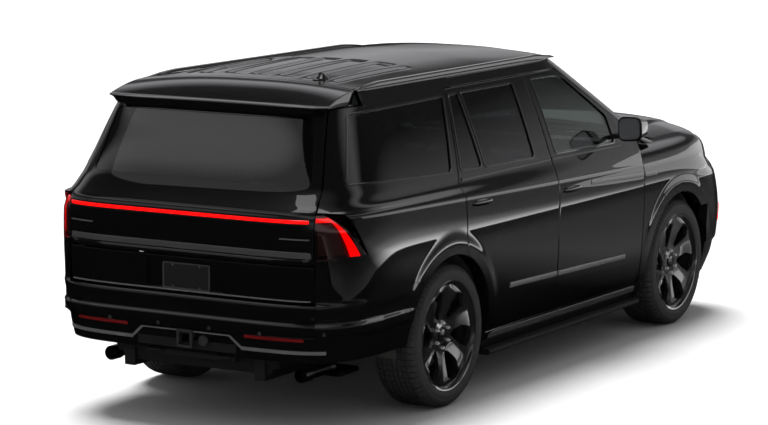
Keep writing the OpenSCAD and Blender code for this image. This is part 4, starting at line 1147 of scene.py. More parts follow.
def addRoof():
    addPiece("roofSkin", makeRoof(), finish["bodyBlack"], "body", ["roof"], "body_paint")
    x0, x1 = roof["glassX"]
    y = roof["glassY"]
    xs, ys = between([x0 - 0.05, x1 + 0.05], 0.04), between([-y - 0.05, y + 0.05], 0.04)
    sheet = slab([[Vector((u, v, roofTop(u, v) - 0.001)) for v in ys] for u in xs],
                 [[Vector((u, v, roofTop(u, v) - 0.007)) for v in ys] for u in xs])
    pane = carve(sheet, roofOpening(0.002), operation="INTERSECT")
    heights = between([1.262, 1.42, 1.86], 0.03)
    shares = [i / 24 - 1 for i in range(49)]
    faces = []
    for depth in (0.0, roof["screenThick"]):
        faces.append([])
        for z in heights:
            ys = [s * sideWidth(z) * roof["screenWide"] for s in shares]
            faces[-1].append([Vector((screenAt(y, z, depth), y, z)) for y in ys])
    addPiece("windscreen", joined(slab(*faces), pane), finish["clearGlass"], "body", ["body_glass"], "glass")
    # rails with feet at their ends
    points, outs, count = [], [], 60
    for i in range(count + 1):
        x = mix(roof["railRear"], roof["railFront"], i / count)
        lift = 0.026 * min(1, root(min(x - roof["railRear"], roof["railFront"] - x) / 0.26, 1.6))
        points.append(Vector((x, roof["railY"], 1.874 + lift)))
        outs.append(Vector((0, 0, 1)))
    section = [(-0.017, -0.034), (-0.017, -0.006), (-0.012, 0.0), (0.012, 0.0), (0.017, -0.008),
               (0.017, -0.034)]
    rails = sweep(points, outs, section)
    for v in rails.verts:
        v.co.z = max(v.co.z, roofZ(v.co.x, v.co.y) + 0.001)
    addPiece("roofRails", bothSides(rails), finish["glossTrim"], "body", ["roof_rails"], "black_trim")
    # aerial fin, off the middle on the right
    rows = []
    for u in [i / 20 for i in range(21)]:
        half, rise = 0.034 * root(1 - abs(2 * u - 1) ** 2.2, 2), ease(u * 1.3 if u < 0.5 else (1 - u) * 2)
        rows.append([])
        for v in [j / 6 - 1 for j in range(13)]:
            z = roofZ(-1.83, 0.385) + 0.036 * (1 - v * v) * rise
            rows[-1].append(Vector((mix(-1.905, -1.755, u), -0.385 + v * half, z)))
    fin = skin(rows)
    bmesh.ops.solidify(fin, geom=fin.faces[:], thickness=0.004)
    bmesh.ops.recalc_face_normals(fin, faces=fin.faces[:])
    addPiece("aerialFin", fin, finish["bodyBlack"], "body", slot="body_paint")
    print("roof ready")


# rear gate, tailgate and lamps
gate = {"low": 0.975, "high": 1.785, "thick": 0.045, "cells": 120, "ledge": (1.0, 1.015, 1.045, 1.06),
        "ledgeIn": 0.012, "window": [(-0.725, 1.392), (-0.65, 1.745), (0.65, 1.745), (0.725, 1.392)],
        "windowCorner": 0.03}


def ledgeDepth(y, z):
    # a shallow shelf that runs across the gate under the light bar
    a, b, c, d = gate["ledge"]
    return gate["ledgeIn"] * ease((z - a) / (b - a)) * ease((d - z) / (d - c)) * ease((0.8 - abs(y)) / 0.05)


def gateRows(heights, depth=0.0):
    # rows across the gates: the outer face has the ledge, an inner face at a depth is plain
    rows = []
    for z in heights:
        ys = [gateY(z) * (2 * i / gate["cells"] - 1) for i in range(gate["cells"] + 1)]
        rows.append([rearPoint(y, z, depth if depth else ledgeDepth(y, z)) for y in ys])
    return rows


def spoilerTop(x, y):
    return mix(roofZ(-1.985, y), 1.806 + 0.006 * (1 - (abs(y) / 0.74) ** 2),
               clamp((-1.993 - x) / 0.33) ** 1.8)


def makeSpoiler():
    shares = [i / 36 - 1 for i in range(73)]
    ks = between([0, 1], 0.045)
    top, under = [], []
    for k in ks:
        top.append([])
        under.append([])
        for s in shares:
            rear = tailAt(s * 0.69, 1.753) - 0.025
            x = mix(-1.993, rear, k)
            y = s * mix(0.706, 0.73, k)
            top[-1].append(Vector((x, y, spoilerTop(x, s * 0.715))))
            edge = ease((abs(s) - 0.86) / 0.08)
            low = mix(mix(1.86, 1.765, k), 1.798, edge)
            under[-1].append(Vector((x - (0.047 if k == 0 else 0.03 * max(0, 0.2 - k) / 0.2), y, low)))
    return soften(slab(top, under), 0.006, 3, 0.8)


def makeGate():
    marks = [gate["low"], 1.0, 1.015, 1.045, 1.06, 1.205, 1.225, 1.25, 1.26, 1.3, 1.377, 1.753, gate["high"]]
    heights = between(marks, 0.013)
    bm = soften(slab(gateRows(heights), gateRows(heights, gate["thick"])), 0.0025, 2, 0.9)
    return carve(bm, outlineBlock(gate["window"], -2.8, -1.9, gate["windowCorner"], "X"))


def makeRearGlass():
    heights = between([1.37, 1.77], 0.025)
    ys = between([-0.76, 0.76], 0.03)
    rows = [[[Vector((tailAt(y, z) + d, y, z)) for y in ys] for z in heights] for d in (0.006, 0.012)]
    low, high = gate["window"][0][1], gate["window"][1][1]
    grown = [(-0.729, low - 0.004), (-0.654, high + 0.004), (0.654, high + 0.004), (0.729, low - 0.004)]
    return carve(slab(*rows), outlineBlock(grown, -2.8, -1.9, 0.034, "X"), operation="INTERSECT")


def strip(pointAt, facing, ys, zs, section, count, depthAt=lambda z: 0.0):
    # a bar across the tail (facing 1) or the nose (facing -1) between two widths and two heights
    points, outs = [], []
    for i in range(count + 1):
        y, z = mix(*ys, i / count), mix(*zs, i / count)
        along = pointAt(y + 0.004, z) - pointAt(y - 0.004, z)
        points.append(pointAt(y, z, depthAt(z)))
        outs.append(Vector((-along.y * facing, along.x * facing, 0)).normalized())
    return sweep(points, outs, section)


def tailStrip(y0, y1, z, width, high, low=-0.003, count=48):
    return strip(rearPoint, 1, (y0, y1), (z, z), flatBar(width, high, low), count)


def lampEdge(z):
    return brokenLine([(1.004, -2.327), (1.178, -2.478), (1.25, -2.552)])(z) - 0.0007


def makeRearLamp(z0, z1, depth, thick, a=0.0, b=1.0):
    # a part of the lamp between two shares of its width, wrapped round the corner
    rows = [[], []]
    for z in between([z0, z1], 0.012):
        edge, inner = lampEdge(z), gateY(z) + body["gap"]
        outerY = sidePoint(edge, z).y
        for k, d in enumerate((depth, depth + thick)):
            row = []
            for i in range(33):
                y = mix(outerY, inner, mix(a, b, i / 32))
                row.append(rearPoint(y, z, d))
            rows[k].append(row)
    return slab(*rows)


def addTail():
    addPiece("rearGateSkin", joined(makeGate(), makeSpoiler()), finish["bodyBlack"], "liftgate", ["liftgate"],
             "body_paint")
    addPiece("rearGlass", makeRearGlass(), finish["privacyGlass"], "liftgate", ["liftgate_glass"], "glass")
    bar = tailStrip(-0.785, 0.785, 1.215, 0.019, 0.0055, -0.002, 90)
    addPiece("lightBar", bar, finish["lampRed"], "liftgate", ["light_bar"], "red_lamp", weighted=False)
    edges = [tailStrip(-0.8, 0.8, z, 0.008, 0.004, -0.002, 90) for z in (1.231, 1.199)]
    addPiece("lightBarFrame", joined(*edges), finish["glossTrim"], "liftgate", slot="black_trim")
    dashes = joined(*[tailStrip(s * 0.62, s * 0.79, 1.118, 0.007, 0.003, -0.002, 20) for s in (-1, 1)])
    addPiece("gateDashes", dashes, finish["trimGrey"], "liftgate", slot="black_trim")
    # a lighter grey strip along the ledge face: painted highlight where the ledge catches the light
    ledge = tailStrip(-0.797, 0.797, 1.03, 0.034, 0.0, -0.006, 90)
    addPiece("gateLedgeSheen", ledge, finish["sillGrey"], "liftgate", slot="body_paint")
    heights = between([0.768, 0.775, 0.965], 0.012)
    panel = soften(slab(gateRows(heights), gateRows(heights, 0.05)), 0.0025, 2, 0.9)
    pocket = outlineBlock(upright(0.255, 0.782, 0.932), -2.8, body["tail"] + 0.04, 0.012, "X")
    addPiece("tailgateSkin", carve(panel, pocket), finish["bodyBlack"], "tailgate", ["tailgate"],
             "body_paint")
    addPiece("tailgateStrip", tailStrip(-0.79, 0.79, 0.777, 0.009, 0.003), finish["trimGrey"], "tailgate",
             slot="black_trim")
    plate = box((-2.6295, -0.153, 0.785), (-2.6275, 0.153, 0.925), 0.0006, 1)
    rim = outlineBlock(upright(0.156, 0.782, 0.928), -2.6325, -2.6285, 0.006, "X")
    rim = carve(rim, outlineBlock(upright(0.149, 0.789, 0.921), -2.7, -2.6, 0.005, "X"))
    bolts = [roundBar((-2.634, y, z), (-2.629, y, z), 0.006, 12) for y in (-0.09, 0.09)
             for z in (0.795, 0.915)]
    addPiece("numberPlate", plate, finish["plateBlank"], "tailgate", ["number_plate"], "plate")
    addPiece("plateFrame", joined(rim, *bolts), finish["darkMetal"], "tailgate", slot="steel")
    # lamps
    back = makeRearLamp(1.0026, 1.247, 0.02, 0.05)
    addPiece("lampHousings", bothSides(back), finish["glossTrim"], "body", ["lamps"], "lamp")
    bandOuter = makeRearLamp(1.016, 1.236, 0.004, 0.012, 0.06, 0.2)
    bandTop = makeRearLamp(1.212, 1.234, 0.004, 0.012, 0.06, 0.98)
    addPiece("lampBands", bothSides(joined(bandOuter, bandTop)), finish["lampRed"], "body", slot="red_lamp",
             weighted=False)
    inner = makeRearLamp(1.03, 1.2, 0.012, 0.008, 0.26, 0.9)
    addPiece("lampInners", bothSides(inner), finish["trimGrey"], "body", slot="lamp", weighted=False)
    lens = makeRearLamp(1.004, 1.246, 0.0005, 0.003)
    addPiece("lampLenses", bothSides(soften(lens, 0.0015, 2)), finish["lensRed"], "body", slot="lamp")
    print("tail ready")


# rear bumper
bumper = {"low": 0.43, "thick": 0.045, "lip": (0.64, 0.652), "lipIn": 0.008, "valance": 0.56, "recess": 0.02}


def bumperTop(x, y, onSide):
    if onSide:
        return brokenLine([(-2.326, 1.002), (-2.23, 0.868), (-2.16, 0.7891), (-1.69, 0.7891)])(x)
    return 1.002 if abs(y) > 0.82 else 0.755


def bumperShape(z):
    # how far the skin stands in, as a minus value, above its lip and in the valance
    low, high = bumper["lip"]
    return (-bumper["lipIn"] * ease((z - low) / (high - low)) * ease((0.75 - z) / 0.06)
            - bumper["recess"] * ease((bumper["valance"] + 0.03 - z) / 0.03))


def hitchMouth():
    return box((-2.75, -0.036, 0.473), (-2.5, 0.036, 0.545))


def makeRearBumper():
    xs = between([-1.69, -2.16, -2.23, -2.326, -2.5], 0.016)
    ys = between([0.89, 0.821], 0.014) + between([0.819, 0], 0.016)
    shares = [i / 44 for i in range(45)]
    outer, inner = [], []
    for k in shares:
        rows = []
        for d in (0.0, bumper["thick"]):
            half = []
            for x in xs:
                z = mix(bumper["low"], bumperTop(x, 0, True), k)
                fade = ease((-1.75 - x) / 0.3)
                half.append(sidePoint(x, z, d - (bumperShape(z) * fade if d == 0 else 0), 0 if d
                                      else flareRise(x, z)))
            for y in ys:
                z = mix(bumper["low"], bumperTop(0, y, False), k)
                p = rearPoint(y, z, d - (bumperShape(z) if d == 0 else 0))
                if d and y > 0.818:
                    # beside the tailgate the corner goes straight in, so that the tailgate can drop
                    p.y = rearPoint(y, z).y if y < 0.82 else max(p.y, rearPoint(0.821, z).y)
                if d and bumperTop(0, y, False) < 0.8:
                    p.z = mix(bumper["low"], bumperTop(0, y, False) - 0.033, k)
                half.append(p)
            rows.append(half + [Vector((p.x, -p.y, p.z)) for p in half[-2::-1]])
        outer.append(rows[0])
        inner.append(rows[1])
    arch = archCutter(body["rearAxle"], 0.477)
    return carve(slab(outer, inner), hitchMouth(), arch, mirrored(arch))


def bumperStrip(y0, y1, z0, z1, width, high, count=30):
    section = flatBar(width, high, -0.002)
    return strip(rearPoint, 1, (y0, y1), (z0, z1), section, count, lambda z: -bumperShape(z))


def addRearBumper():
    addPiece("rearBumperSkin", makeRearBumper(), finish["bodyBlack"], "body", ["rear_bumper"], "body_paint")
    accents = []
    for s in (-1, 1):
        accents.append(bumperStrip(s * 0.37, s * 0.865, 0.487, 0.489, 0.02, 0.006))
        accents.append(bumperStrip(s * 0.3, s * 0.37, 0.549, 0.49, 0.014, 0.005, count=10))
    accents.append(bumperStrip(-0.3, 0.3, 0.551, 0.551, 0.008, 0.005))
    addPiece("bumperAccents", joined(*accents), finish["trimGrey"], "body", slot="black_trim")
    # a flat near-black strip round the hitch mouth: painted shade of the hitch recess
    recess = bumperStrip(-0.335, 0.335, 0.495, 0.495, 0.088, 0.0012)
    addPiece("hitchShadePanel", carve(recess, hitchMouth()), finish["paintedShadePlastic"],
             "body", slot="black_trim")
    # the reflectors glow faintly: painted glow
    reflectors = joined(*[bumperStrip(s * 0.395, s * 0.765, 0.562, 0.564, 0.026, 0.004) for s in (-1, 1)])
    addPiece("rearReflectors", reflectors, finish["reflectorPaintedGlow"], "body", slot="red_lamp", weighted=False)
    # near-black block at the back of the step: its colour paints the shade of the step recess
    step = uprightBlock([(-2.56, -0.79), (-2.49, -0.79), (-2.49, 0.79), (-2.56, 0.79)], 0.7, 0.738, 0.01)
    addPiece("stepBacking", soften(step), finish["paintedShadePlastic"], "body", slot="liner_plastic")
    sensors = []
    for y, z in ((0.86, 0.6), (0.5, 0.585), (0.17, 0.585)):
        for s in (-1, 1):
            p = rearPoint(s * y, z, -bumperShape(z))
            sensors.append(roundBar(p + Vector((0.003, 0, 0)), p + Vector((-0.0035, 0, 0)), 0.011, 20))
    addPiece("parkSensors", joined(*sensors), finish["satinTrim"], "body", slot="black_trim")
    # hitch surround and connector under the bumper
    surround = outlineBlock(upright(0.052, 0.457, 0.561), -2.655, -2.63, 0.01, "X")
    surround = carve(surround, box((-2.7, -0.036, 0.473), (-2.6, 0.036, 0.545)))
    plug = spun([(0.0005, 0.0), (0.03, 0.0), (0.032, 0.012), (0.026, 0.02), (0.0005, 0.022)], 32)
    moved(turned(plug, math.pi / 2, "Z"), (-2.632, -0.12, 0.505))
    addPiece("hitchSurround", joined(surround, plug), finish["satinTrim"], "body", slot="black_trim")
    print("rear bumper ready")


addRoof()
addTail()
addRearBumper()


# wheels and tyres, made round the origin with the outer face towards +Y
wheel = {"rim": 0.3225, "blades": 6, "lugs": 6, "lugCircle": 0.073, "face": 0.108, "plate": 0.028,
         "kite": [(0.104, -8), (0.165, -20), (0.255, -24), (0.284, -12), (0.278, 3), (0.2, 10), (0.124, 5)],
         "ridge": 0.017}
tyre = {"outer": 0.4175, "half": 0.1425, "pitches": 68, "share": 0.84, "tread": 0.008}


def ringOf(outline, count, share):
    # blocks round a circle: an (r, along) outline turned through part of each pitch
    bm = bmesh.new()
    pitch = math.tau / count
    face = bm.faces.new([bm.verts.new((r, a, 0)) for r, a in outline])
    bmesh.ops.spin(bm, geom=[face] + face.verts[:] + face.edges[:], cent=(0, 0, 0), axis=(0, 1, 0),
                   dvec=(0, 0, 0), angle=pitch * share, steps=1, use_merge=False, use_normal_flip=False,
                   use_duplicate=False)
    bmesh.ops.recalc_face_normals(bm, faces=bm.faces[:])
    bmesh.ops.spin(bm, geom=bm.verts[:] + bm.edges[:] + bm.faces[:], cent=(0, 0, 0), axis=(0, 1, 0),
                   dvec=(0, 0, 0), angle=pitch * (count - 1), steps=count - 1, use_duplicate=True)
    bmesh.ops.recalc_face_normals(bm, faces=bm.faces[:])
    return bm


def makeTyre():
    r, w, rim, t = tyre["outer"], tyre["half"], wheel["rim"], tyre["tread"]
    side = [(rim + 0.0003, 0.134), (rim + 0.004, w - 0.005), (rim + 0.012, w - 0.002),
            (rim + 0.02, w - 0.0015), (rim + 0.022, w), (rim + 0.03, w), (rim + 0.032, w - 0.002),
            (r - 0.046, w - 0.004), (r - 0.044, w - 0.0025), (r - 0.034, w - 0.006), (r - 0.026, w - 0.012),
            (r - 0.02, w - 0.022), (r - t - 0.004, w - 0.04), (r - t, w - 0.066), (r - t, 0.02), (r - t, 0.0)]
    inside = [(rim - 0.0095, 0.116), (rim - 0.0095, 0.112), (rim + 0.012, 0.1)]
    profile = side + [(a, -b) for a, b in side[-2::-1]] + [(a, -b) for a, b in inside] + inside[::-1]
    parts = [spun(profile, 128)]
    d = t + 0.002
    for a, b, share in ((-0.011, 0.011, 0.94), (0.02, 0.043, tyre["share"]), (0.052, 0.075, tyre["share"])):
        block = [(r - d, a), (r - 0.001, a), (r, a + 0.002), (r, b - 0.002), (r - 0.001, b), (r - d, b)]
        one = ringOf(block, tyre["pitches"], share)
        parts += [one] if a < 0 else [one, mirrored(one)]
    shoulder = [(r - d, 0.083), (r - 0.0005, 0.083), (r - 0.0015, 0.1), (r - 0.006, 0.114),
                (r - 0.015, 0.126), (r - 0.03, 0.1375), (r - 0.034, 0.134), (r - 0.02, 0.118),
                (r - d - 0.004, 0.1)]
    one = ringOf(shoulder, tyre["pitches"], 0.86)
    return joined(*parts, one, mirrored(one))


def makeWheel():
    rim = wheel["rim"]
    barrel = spun([(rim - 0.026, -0.128), (rim, -0.134), (rim, -0.122), (rim - 0.014, -0.1),
                   (rim - 0.022, -0.04), (rim - 0.018, 0.09), (rim - 0.01, 0.118), (rim, 0.122), (rim, 0.134),
                   (rim - 0.004, 0.137), (rim - 0.012, 0.134), (rim - 0.016, 0.122), (rim - 0.024, 0.116),
                   (rim - 0.03, 0.08), (rim - 0.036, -0.04), (rim - 0.028, -0.1)], 128)
    radii = between([0.03, 0.075, 0.3, rim - 0.017], 0.014)
    face = wheel["face"]
    plate = spun([(r, face) for r in radii] + [(r, face - wheel["plate"]) for r in radii[::-1]], 144)
    kites = []
    for k in range(wheel["blades"]):
        turn = math.tau * k / wheel["blades"]
        outline = [(r * math.cos(turn + math.radians(a)), r * math.sin(turn + math.radians(a))) for r,
                   a in wheel["kite"]]
        kites.append(outlineBlock(outline, 0.0, 0.2, 0.008))
    plate = carve(plate, *kites)
    for v in plate.verts:
        r = math.hypot(v.co.x, v.co.z)
        turn = (math.degrees(math.atan2(v.co.z, v.co.x)) + r * 60 - 42) % 60
        ridge = 1 - abs(turn / 30 - 1)
        dish = 0.03 * ease((r - 0.08) / 0.23) - 0.028
        v.co.y += dish + wheel["ridge"] * ridge * ease((r - 0.09) / 0.12) * ease((rim - 0.01 - r) / 0.04)
    soften(plate, 0.0022, 2, 0.75)
    hub = spun([(0.0005, 0.02), (0.088, 0.02), (0.09, 0.07), (0.086, 0.082), (0.05, 0.086), (0.046, 0.078),
                (0.0005, 0.078)],
               64)
    return joined(barrel, plate, hub)


def makeWheelBright():
    # lug nuts in a circle
    parts = []
    for k in range(wheel["lugs"]):
        a = math.tau * (k + 0.5) / wheel["lugs"]
        x, z = wheel["lugCircle"] * math.cos(a), wheel["lugCircle"] * math.sin(a)
        parts.append(roundBar((x, 0.082, z), (x, 0.098, z), 0.01, 6))
        parts.append(roundBar((x, 0.097, z), (x, 0.105, z), 0.0088, 20, 0.005))
    return joined(*parts)


def makeBrake():
    disc = spun([(0.096, -0.04), (0.2, -0.04), (0.2, -0.03), (0.194, -0.029), (0.194, -0.023), (0.2, -0.022),
                 (0.2, -0.012), (0.096, -0.012), (0.094, 0.018), (0.03, 0.018), (0.03, -0.02),
                 (0.09, -0.022)], 96)
    holes = []
    for k in range(36):
        a, r = math.tau * k / 36, 0.125 + 0.022 * (k % 3)
        x, z = r * math.cos(a), r * math.sin(a)
        holes.append(roundBar((x, -0.011, z), (x, -0.0125, z), 0.004, 10))
    return joined(disc, *holes)


def addWheels():
    tread, rimShape, bright, brake = makeTyre(), makeWheel(), makeWheelBright(), makeBrake()
    cap = spun([(0.0005, 0.08), (0.036, 0.08), (0.036, 0.09), (0.03, 0.094), (0.0005, 0.096)], 48)
    for place, axle in (("front", body["frontAxle"]), ("rear", body["rearAxle"])):
        for side, sign in (("left", 1), ("right", -1)):
            tag = place.capitalize() + side.capitalize()
            rides, end = "wheel_" + place + "_" + side, "_" + place + "_" + side
            for name, shape, look, node, slot in (
                    ("tyre", tread, "tyreRubber", "tyre" + end, "tyre"),
                                                  ("rim", rimShape, "rimBlack", "wheel" + end, "rim"),
                    ("lugs", bright, "silverPaint", None, "steel"), ("hubCap", cap, "glossTrim", None, "rim"),
                    ("brakeDisc", brake, "castMetal", None, "steel")):
                part = shape.copy() if sign > 0 else mirrored(shape)
                moved(part, (axle, sign * body["wheelY"], body["hub"]))
                addPiece(name + tag, part, finish[look], rides, [node] if node else (), slot,
                         weighted=name != "tyre", sharp=0.5 if name == "tyre" else 0.7)
    for shape in (tread, rimShape, bright, brake, cap):
        shape.free()
    print("wheels ready")


# front end
front = {"lampEdge": 2.291, "grilleHalf": 0.551, "bumperLow": 0.262, "bumperTop": 0.888}


def fenderFront(h):
    if h < 0.76:
        return body["frontAxle"]
    if h < 0.89:
        return brokenLine([(0.76, 2.19), (0.89, 2.325)])(h)
    return 2.29 if h < 1.09 else 2.272


def makeFender():
    heights = between([0.362, 0.7595, 0.7605, 0.8895, 0.8905, 1.0895, 1.0905, 1.12, 1.19, 1.25], 0.013)
    rear = body["doorFront"] + body["gap"]
    rows = [[], []]
    for h in heights:
        for k in (0, 1):
            row = []
            for i in range(101):
                x = mix(rear, fenderFront(h), i / 100)
                depth = k * brokenLine([(1.214, 0.008), (1.232, 0.04)])(x)
                p = fenderPoint(x, h, depth)
                if k == 0:
                    p.y += flareRise(x, h) * noseTaper(x, h)
                row.append(p)
            rows[k].append(row)
    return carve(slab(*rows), archCutter(body["frontAxle"], body["archRadius"]))


def makeHood():
    ys = between([-0.859, -0.6, 0.6, 0.859], 0.018)
    ks = between([0, 0.5, 0.85, 1], 0.012)
    rows = [[], []]
    for k in ks:
        for d in (0, 1):
            row = []
            for y in ys:
                x = mix(hoodRear(y), hoodFront(y) - 0.006, k)
                swell = 0.012 * ease((0.62 - abs(y)) / 0.05) * ease((1 - k) / 0.25) * ease(k / 0.05)
                z = hoodZ(x, y) - (0 if d == 0 else 0.008 if k < 0.01 or k > 0.99 else 0.022)
                row.append(Vector((x - (0.012 if d and k > 0.95 else 0), y,
                                   z + (swell if d == 0 else 0) - 0.001)))
            rows[d].append(row)
    return soften(slab(*rows), 0.002, 2, 0.9)


def makeFrontBumper():
    xs = between([2.15, 2.19, 2.24, 2.331, 2.42], 0.016)
    ys = between([0.9, 0.557], 0.016) + between([0.555, 0], 0.018)
    side = brokenLine([(2.19, 0.7585), (2.24, 0.805), (2.3, 0.863), (2.331, 0.888)])
    outer, inner = [], []
    for i in range(45):
        k = i / 44
        for rows, d in ((outer, 0.0), (inner, 0.045)):
            half = []
            for x in xs:
                z = mix(front["bumperLow"], side(x), k)
                taper = noseTaper(x, z)
                shape = 0.012 * ease((0.5 - z) / 0.03) if d == 0 else 0
                half.append(Vector((x - (d + shape) * noseShare(x, z), (sideWidth(z) - d - shape) * taper
                                    + (flareRise(x, z) if d == 0 else 0), z)))
            for y in ys:
                z = mix(front["bumperLow"], front["bumperTop"] if y > 0.556 else 0.52, k)
                shape = 0.015 * ease((0.5 - z) / 0.03) if d == 0 else 0
                half.append(frontPoint(y, z, d + shape + 0.002))
            rows.append(half + [Vector((p.x, -p.y, p.z)) for p in half[-2::-1]])
    arch = archCutter(body["frontAxle"], 0.477)
    vent = box((2.5, -0.42, 0.31), (2.8, 0.42, 0.44), 0.02, 3)
    return carve(slab(outer, inner), vent, arch, mirrored(arch))


def noseStrip(y0, y1, z0, z1, width, high, low=-0.002, depth=0.0):
    return strip(frontPoint, -1, (y0, y1), (z0, z1), flatBar(width, high, low), 40, lambda z: depth)


def makeHeadLamp(z0, z1, depth, thick, a=0.0, b=1.0):
    rows = [[], []]
    for z in between([z0, z1], 0.012):
        y0 = sideWidth(z) * noseTaper(front["lampEdge"] + 0.001, z)
        for k, d in enumerate((depth, depth + thick)):
            rows[k].append([frontPoint(mix(y0, 0.556, mix(a, b, i / 30)), z, d) for i in range(31)])
    return slab(*rows)


def addFront():
    addPiece("frontFenders", bothSides(makeFender()), finish["bodyBlack"], "body", ["front_fenders"],
             "body_paint")
    addPiece("hoodSkin", makeHood(), finish["bodyBlack"], "hood", ["hood"], "body_paint")
    addPiece("frontBumperSkin", makeFrontBumper(), finish["bodyBlack"], "body", ["front_bumper"],
             "body_paint")
    # grille: a dark back, a bright frame and small upright blades in rows
    half, zs = front["grilleHalf"], between([0.5206, 1.084], 0.03)
    ys = between([-half, half], 0.04)
    back = slab([[frontPoint(y, z, 0.03) for y in ys] for z in zs],
                [[frontPoint(y, z, 0.055) for y in ys] for z in zs])
    addPiece("grilleBack", back, finish["roughPlastic"], "body", ["grille"], "black_trim")
    blades = []
    for j in range(13):
        z = 0.545 + j * 0.0415
        for i in range(37):
            y = (i - 18) * 0.0285 + (0.01425 if j % 2 else 0)
            if abs(y) > 0.525:
                continue
            p = frontPoint(y, z, 0.018)
            blades.append(box((p.x - 0.014, y - 0.0035, z - 0.0165), (p.x + 0.004, y + 0.0035, z + 0.0165)))
    addPiece("grilleBlades", joined(*blades), finish["glossTrim"], "body", slot="black_trim")
    bars = [noseStrip(-half + 0.005, half - 0.005, z, z, 0.014, -0.002, -0.02) for z in (0.53, 1.074)]
    posts = []
    for s in (-1, 1):
        path = [frontPoint(s * 0.545, z) for z in between([0.53, 1.074], 0.03)]
        posts.append(sweep(path, [Vector((1, 0, 0))] * len(path), flatBar(0.014, -0.002, -0.02)))
    addPiece("grilleFrame", joined(*bars, *posts), finish["brightTrim"], "body", slot="black_trim")
    addPiece("headLampBacks", bothSides(makeHeadLamp(0.892, 1.084, 0.035, 0.03)), finish["glossTrim"], "body",
             slot="lamp")
    cells = []
    for z0 in (0.905, 0.965, 1.025):
        for a in (0.1, 0.3, 0.5, 0.7):
            cells.append(soften(makeHeadLamp(z0, z0 + 0.042, 0.014, 0.02, a, a + 0.15), 0.003, 2))
    addPiece("headLampCells", bothSides(joined(*cells)), finish["lampWhite"], "body", slot="lamp",
             weighted=False)
    addPiece("headLampLenses", bothSides(makeHeadLamp(0.892, 1.084, 0.001, 0.004)), finish["lensClear"],
             "body", slot="lamp")
    path = [Vector((2.44 + (z - 0.605) * 0.4, 0, z)) for z in between([0.605, 0.718], 0.01)]
    points = [Vector((p.x, sideWidth(p.z) * noseTaper(p.x, p.z), p.z)) for p in path]
    marker = sweep(points, [Vector((noseShare(p.x, p.z) ** 5, 1, 0)).normalized() for p in path],
                   flatBar(0.018, 0.0015, -0.003))
    addPiece("sideMarkers", bothSides(marker), finish["lampRed"], "body", slot="red_lamp", weighted=False)
    strips = [noseStrip(s * 0.57, s * 0.86, 0.62, 0.6, 0.014, 0.003) for s in (-1, 1)]
    strips.append(noseStrip(-0.48, 0.48, 0.29, 0.29, 0.02, 0.004, depth=0.018))
    zs, ys = between([0.3, 0.45], 0.05), between([-0.45, 0.45], 0.05)
    mesh = slab([[frontPoint(y, z, 0.048) for y in ys] for z in zs],
                [[frontPoint(y, z, 0.06) for y in ys] for z in zs])
    bars = [noseStrip(-0.41, 0.41, z, z, 0.01, -0.03, -0.05) for z in (0.345, 0.375, 0.405)]
    addPiece("lowerIntake", joined(mesh, *bars), finish["roughPlastic"], "body", slot="black_trim")
    addPiece("frontAccents", joined(*strips), finish["brightTrim"], "body", slot="black_trim")
    # wiper arms
    arms = []
    for y0, y1 in ((0.62, 0.02), (-0.02, -0.62)):
        path = [Vector((screenAt(mix(y0, y1, t), 1.285 + 0.012 * t) + 0.012, mix(y0, y1, t),
                        1.285 + 0.012 * t))
                for t in [i / 16 for i in range(17)]]
        arms.append(sweep(path, [Vector((0.5, 0, 0.85))] * 17, flatBar(0.014, 0.01, -0.004)))
    addPiece("wiperArms", joined(*arms), finish["satinTrim"], "body", slot="black_trim")
    print("front ready")


# mirrors
def addMirrors():
    shell = outlineBlock([(-1.182, 1.335), (-1.012, 1.32), (-1.006, 1.485), (-1.172, 1.49)], 0.736, 0.884,
                         0.045, "X")
    for v in shell.verts:
        v.co.y = -v.co.y
        if v.co.x > 0.8:
            v.co.y = mix(1.1, v.co.y, 0.78)
            v.co.z = mix(1.405, v.co.z, 0.72)
            v.co.x -= 0.012
    bmesh.ops.recalc_face_normals(shell, faces=shell.faces[:])
    soften(shell, 0.012, 3, 0.5)
    stalk = outlineBlock([(sideWidth(1.33) + 0.0015, 1.332), (1.06, 1.345), (1.07, 1.372),
                          (sideWidth(1.33) + 0.001, 1.364)],
                         0.765, 0.855, 0.006, "X")
    soften(stalk, 0.006, 2, 0.8)
    addForBoth("mirrorShell", joined(shell, stalk), finish["bodyBlack"], "front_door", ["mirror"],
               "black_trim")
    glass = outlineBlock([(1.024, 1.336), (1.168, 1.349), (1.16, 1.476), (1.02, 1.472)], 0.7335, 0.7375,
                         0.036, "X")
    addForBoth("mirrorGlass", glass, finish["brightTrim"], "front_door", slot="glass")
    print("mirrors ready")


addWheels()
addFront()
addMirrors()


# interior
cabin = {"floor": 0.4805, "lean": -14, "cushion": (0.52, 0.54, 0.14), "back": (0.64, 0.52, 0.14),
         "rest": (0.19, 0.26, 0.085), "cuts": 25, "round": 0.045, "crown": 0.016, "pull": 0.012,
         "seam": 0.006, "bolster": 0.012, "rows": {"front": (0.17, 0.4), "middle": (-0.74, 0.42),
                                                   "rear": (-1.64, 0.3)}}


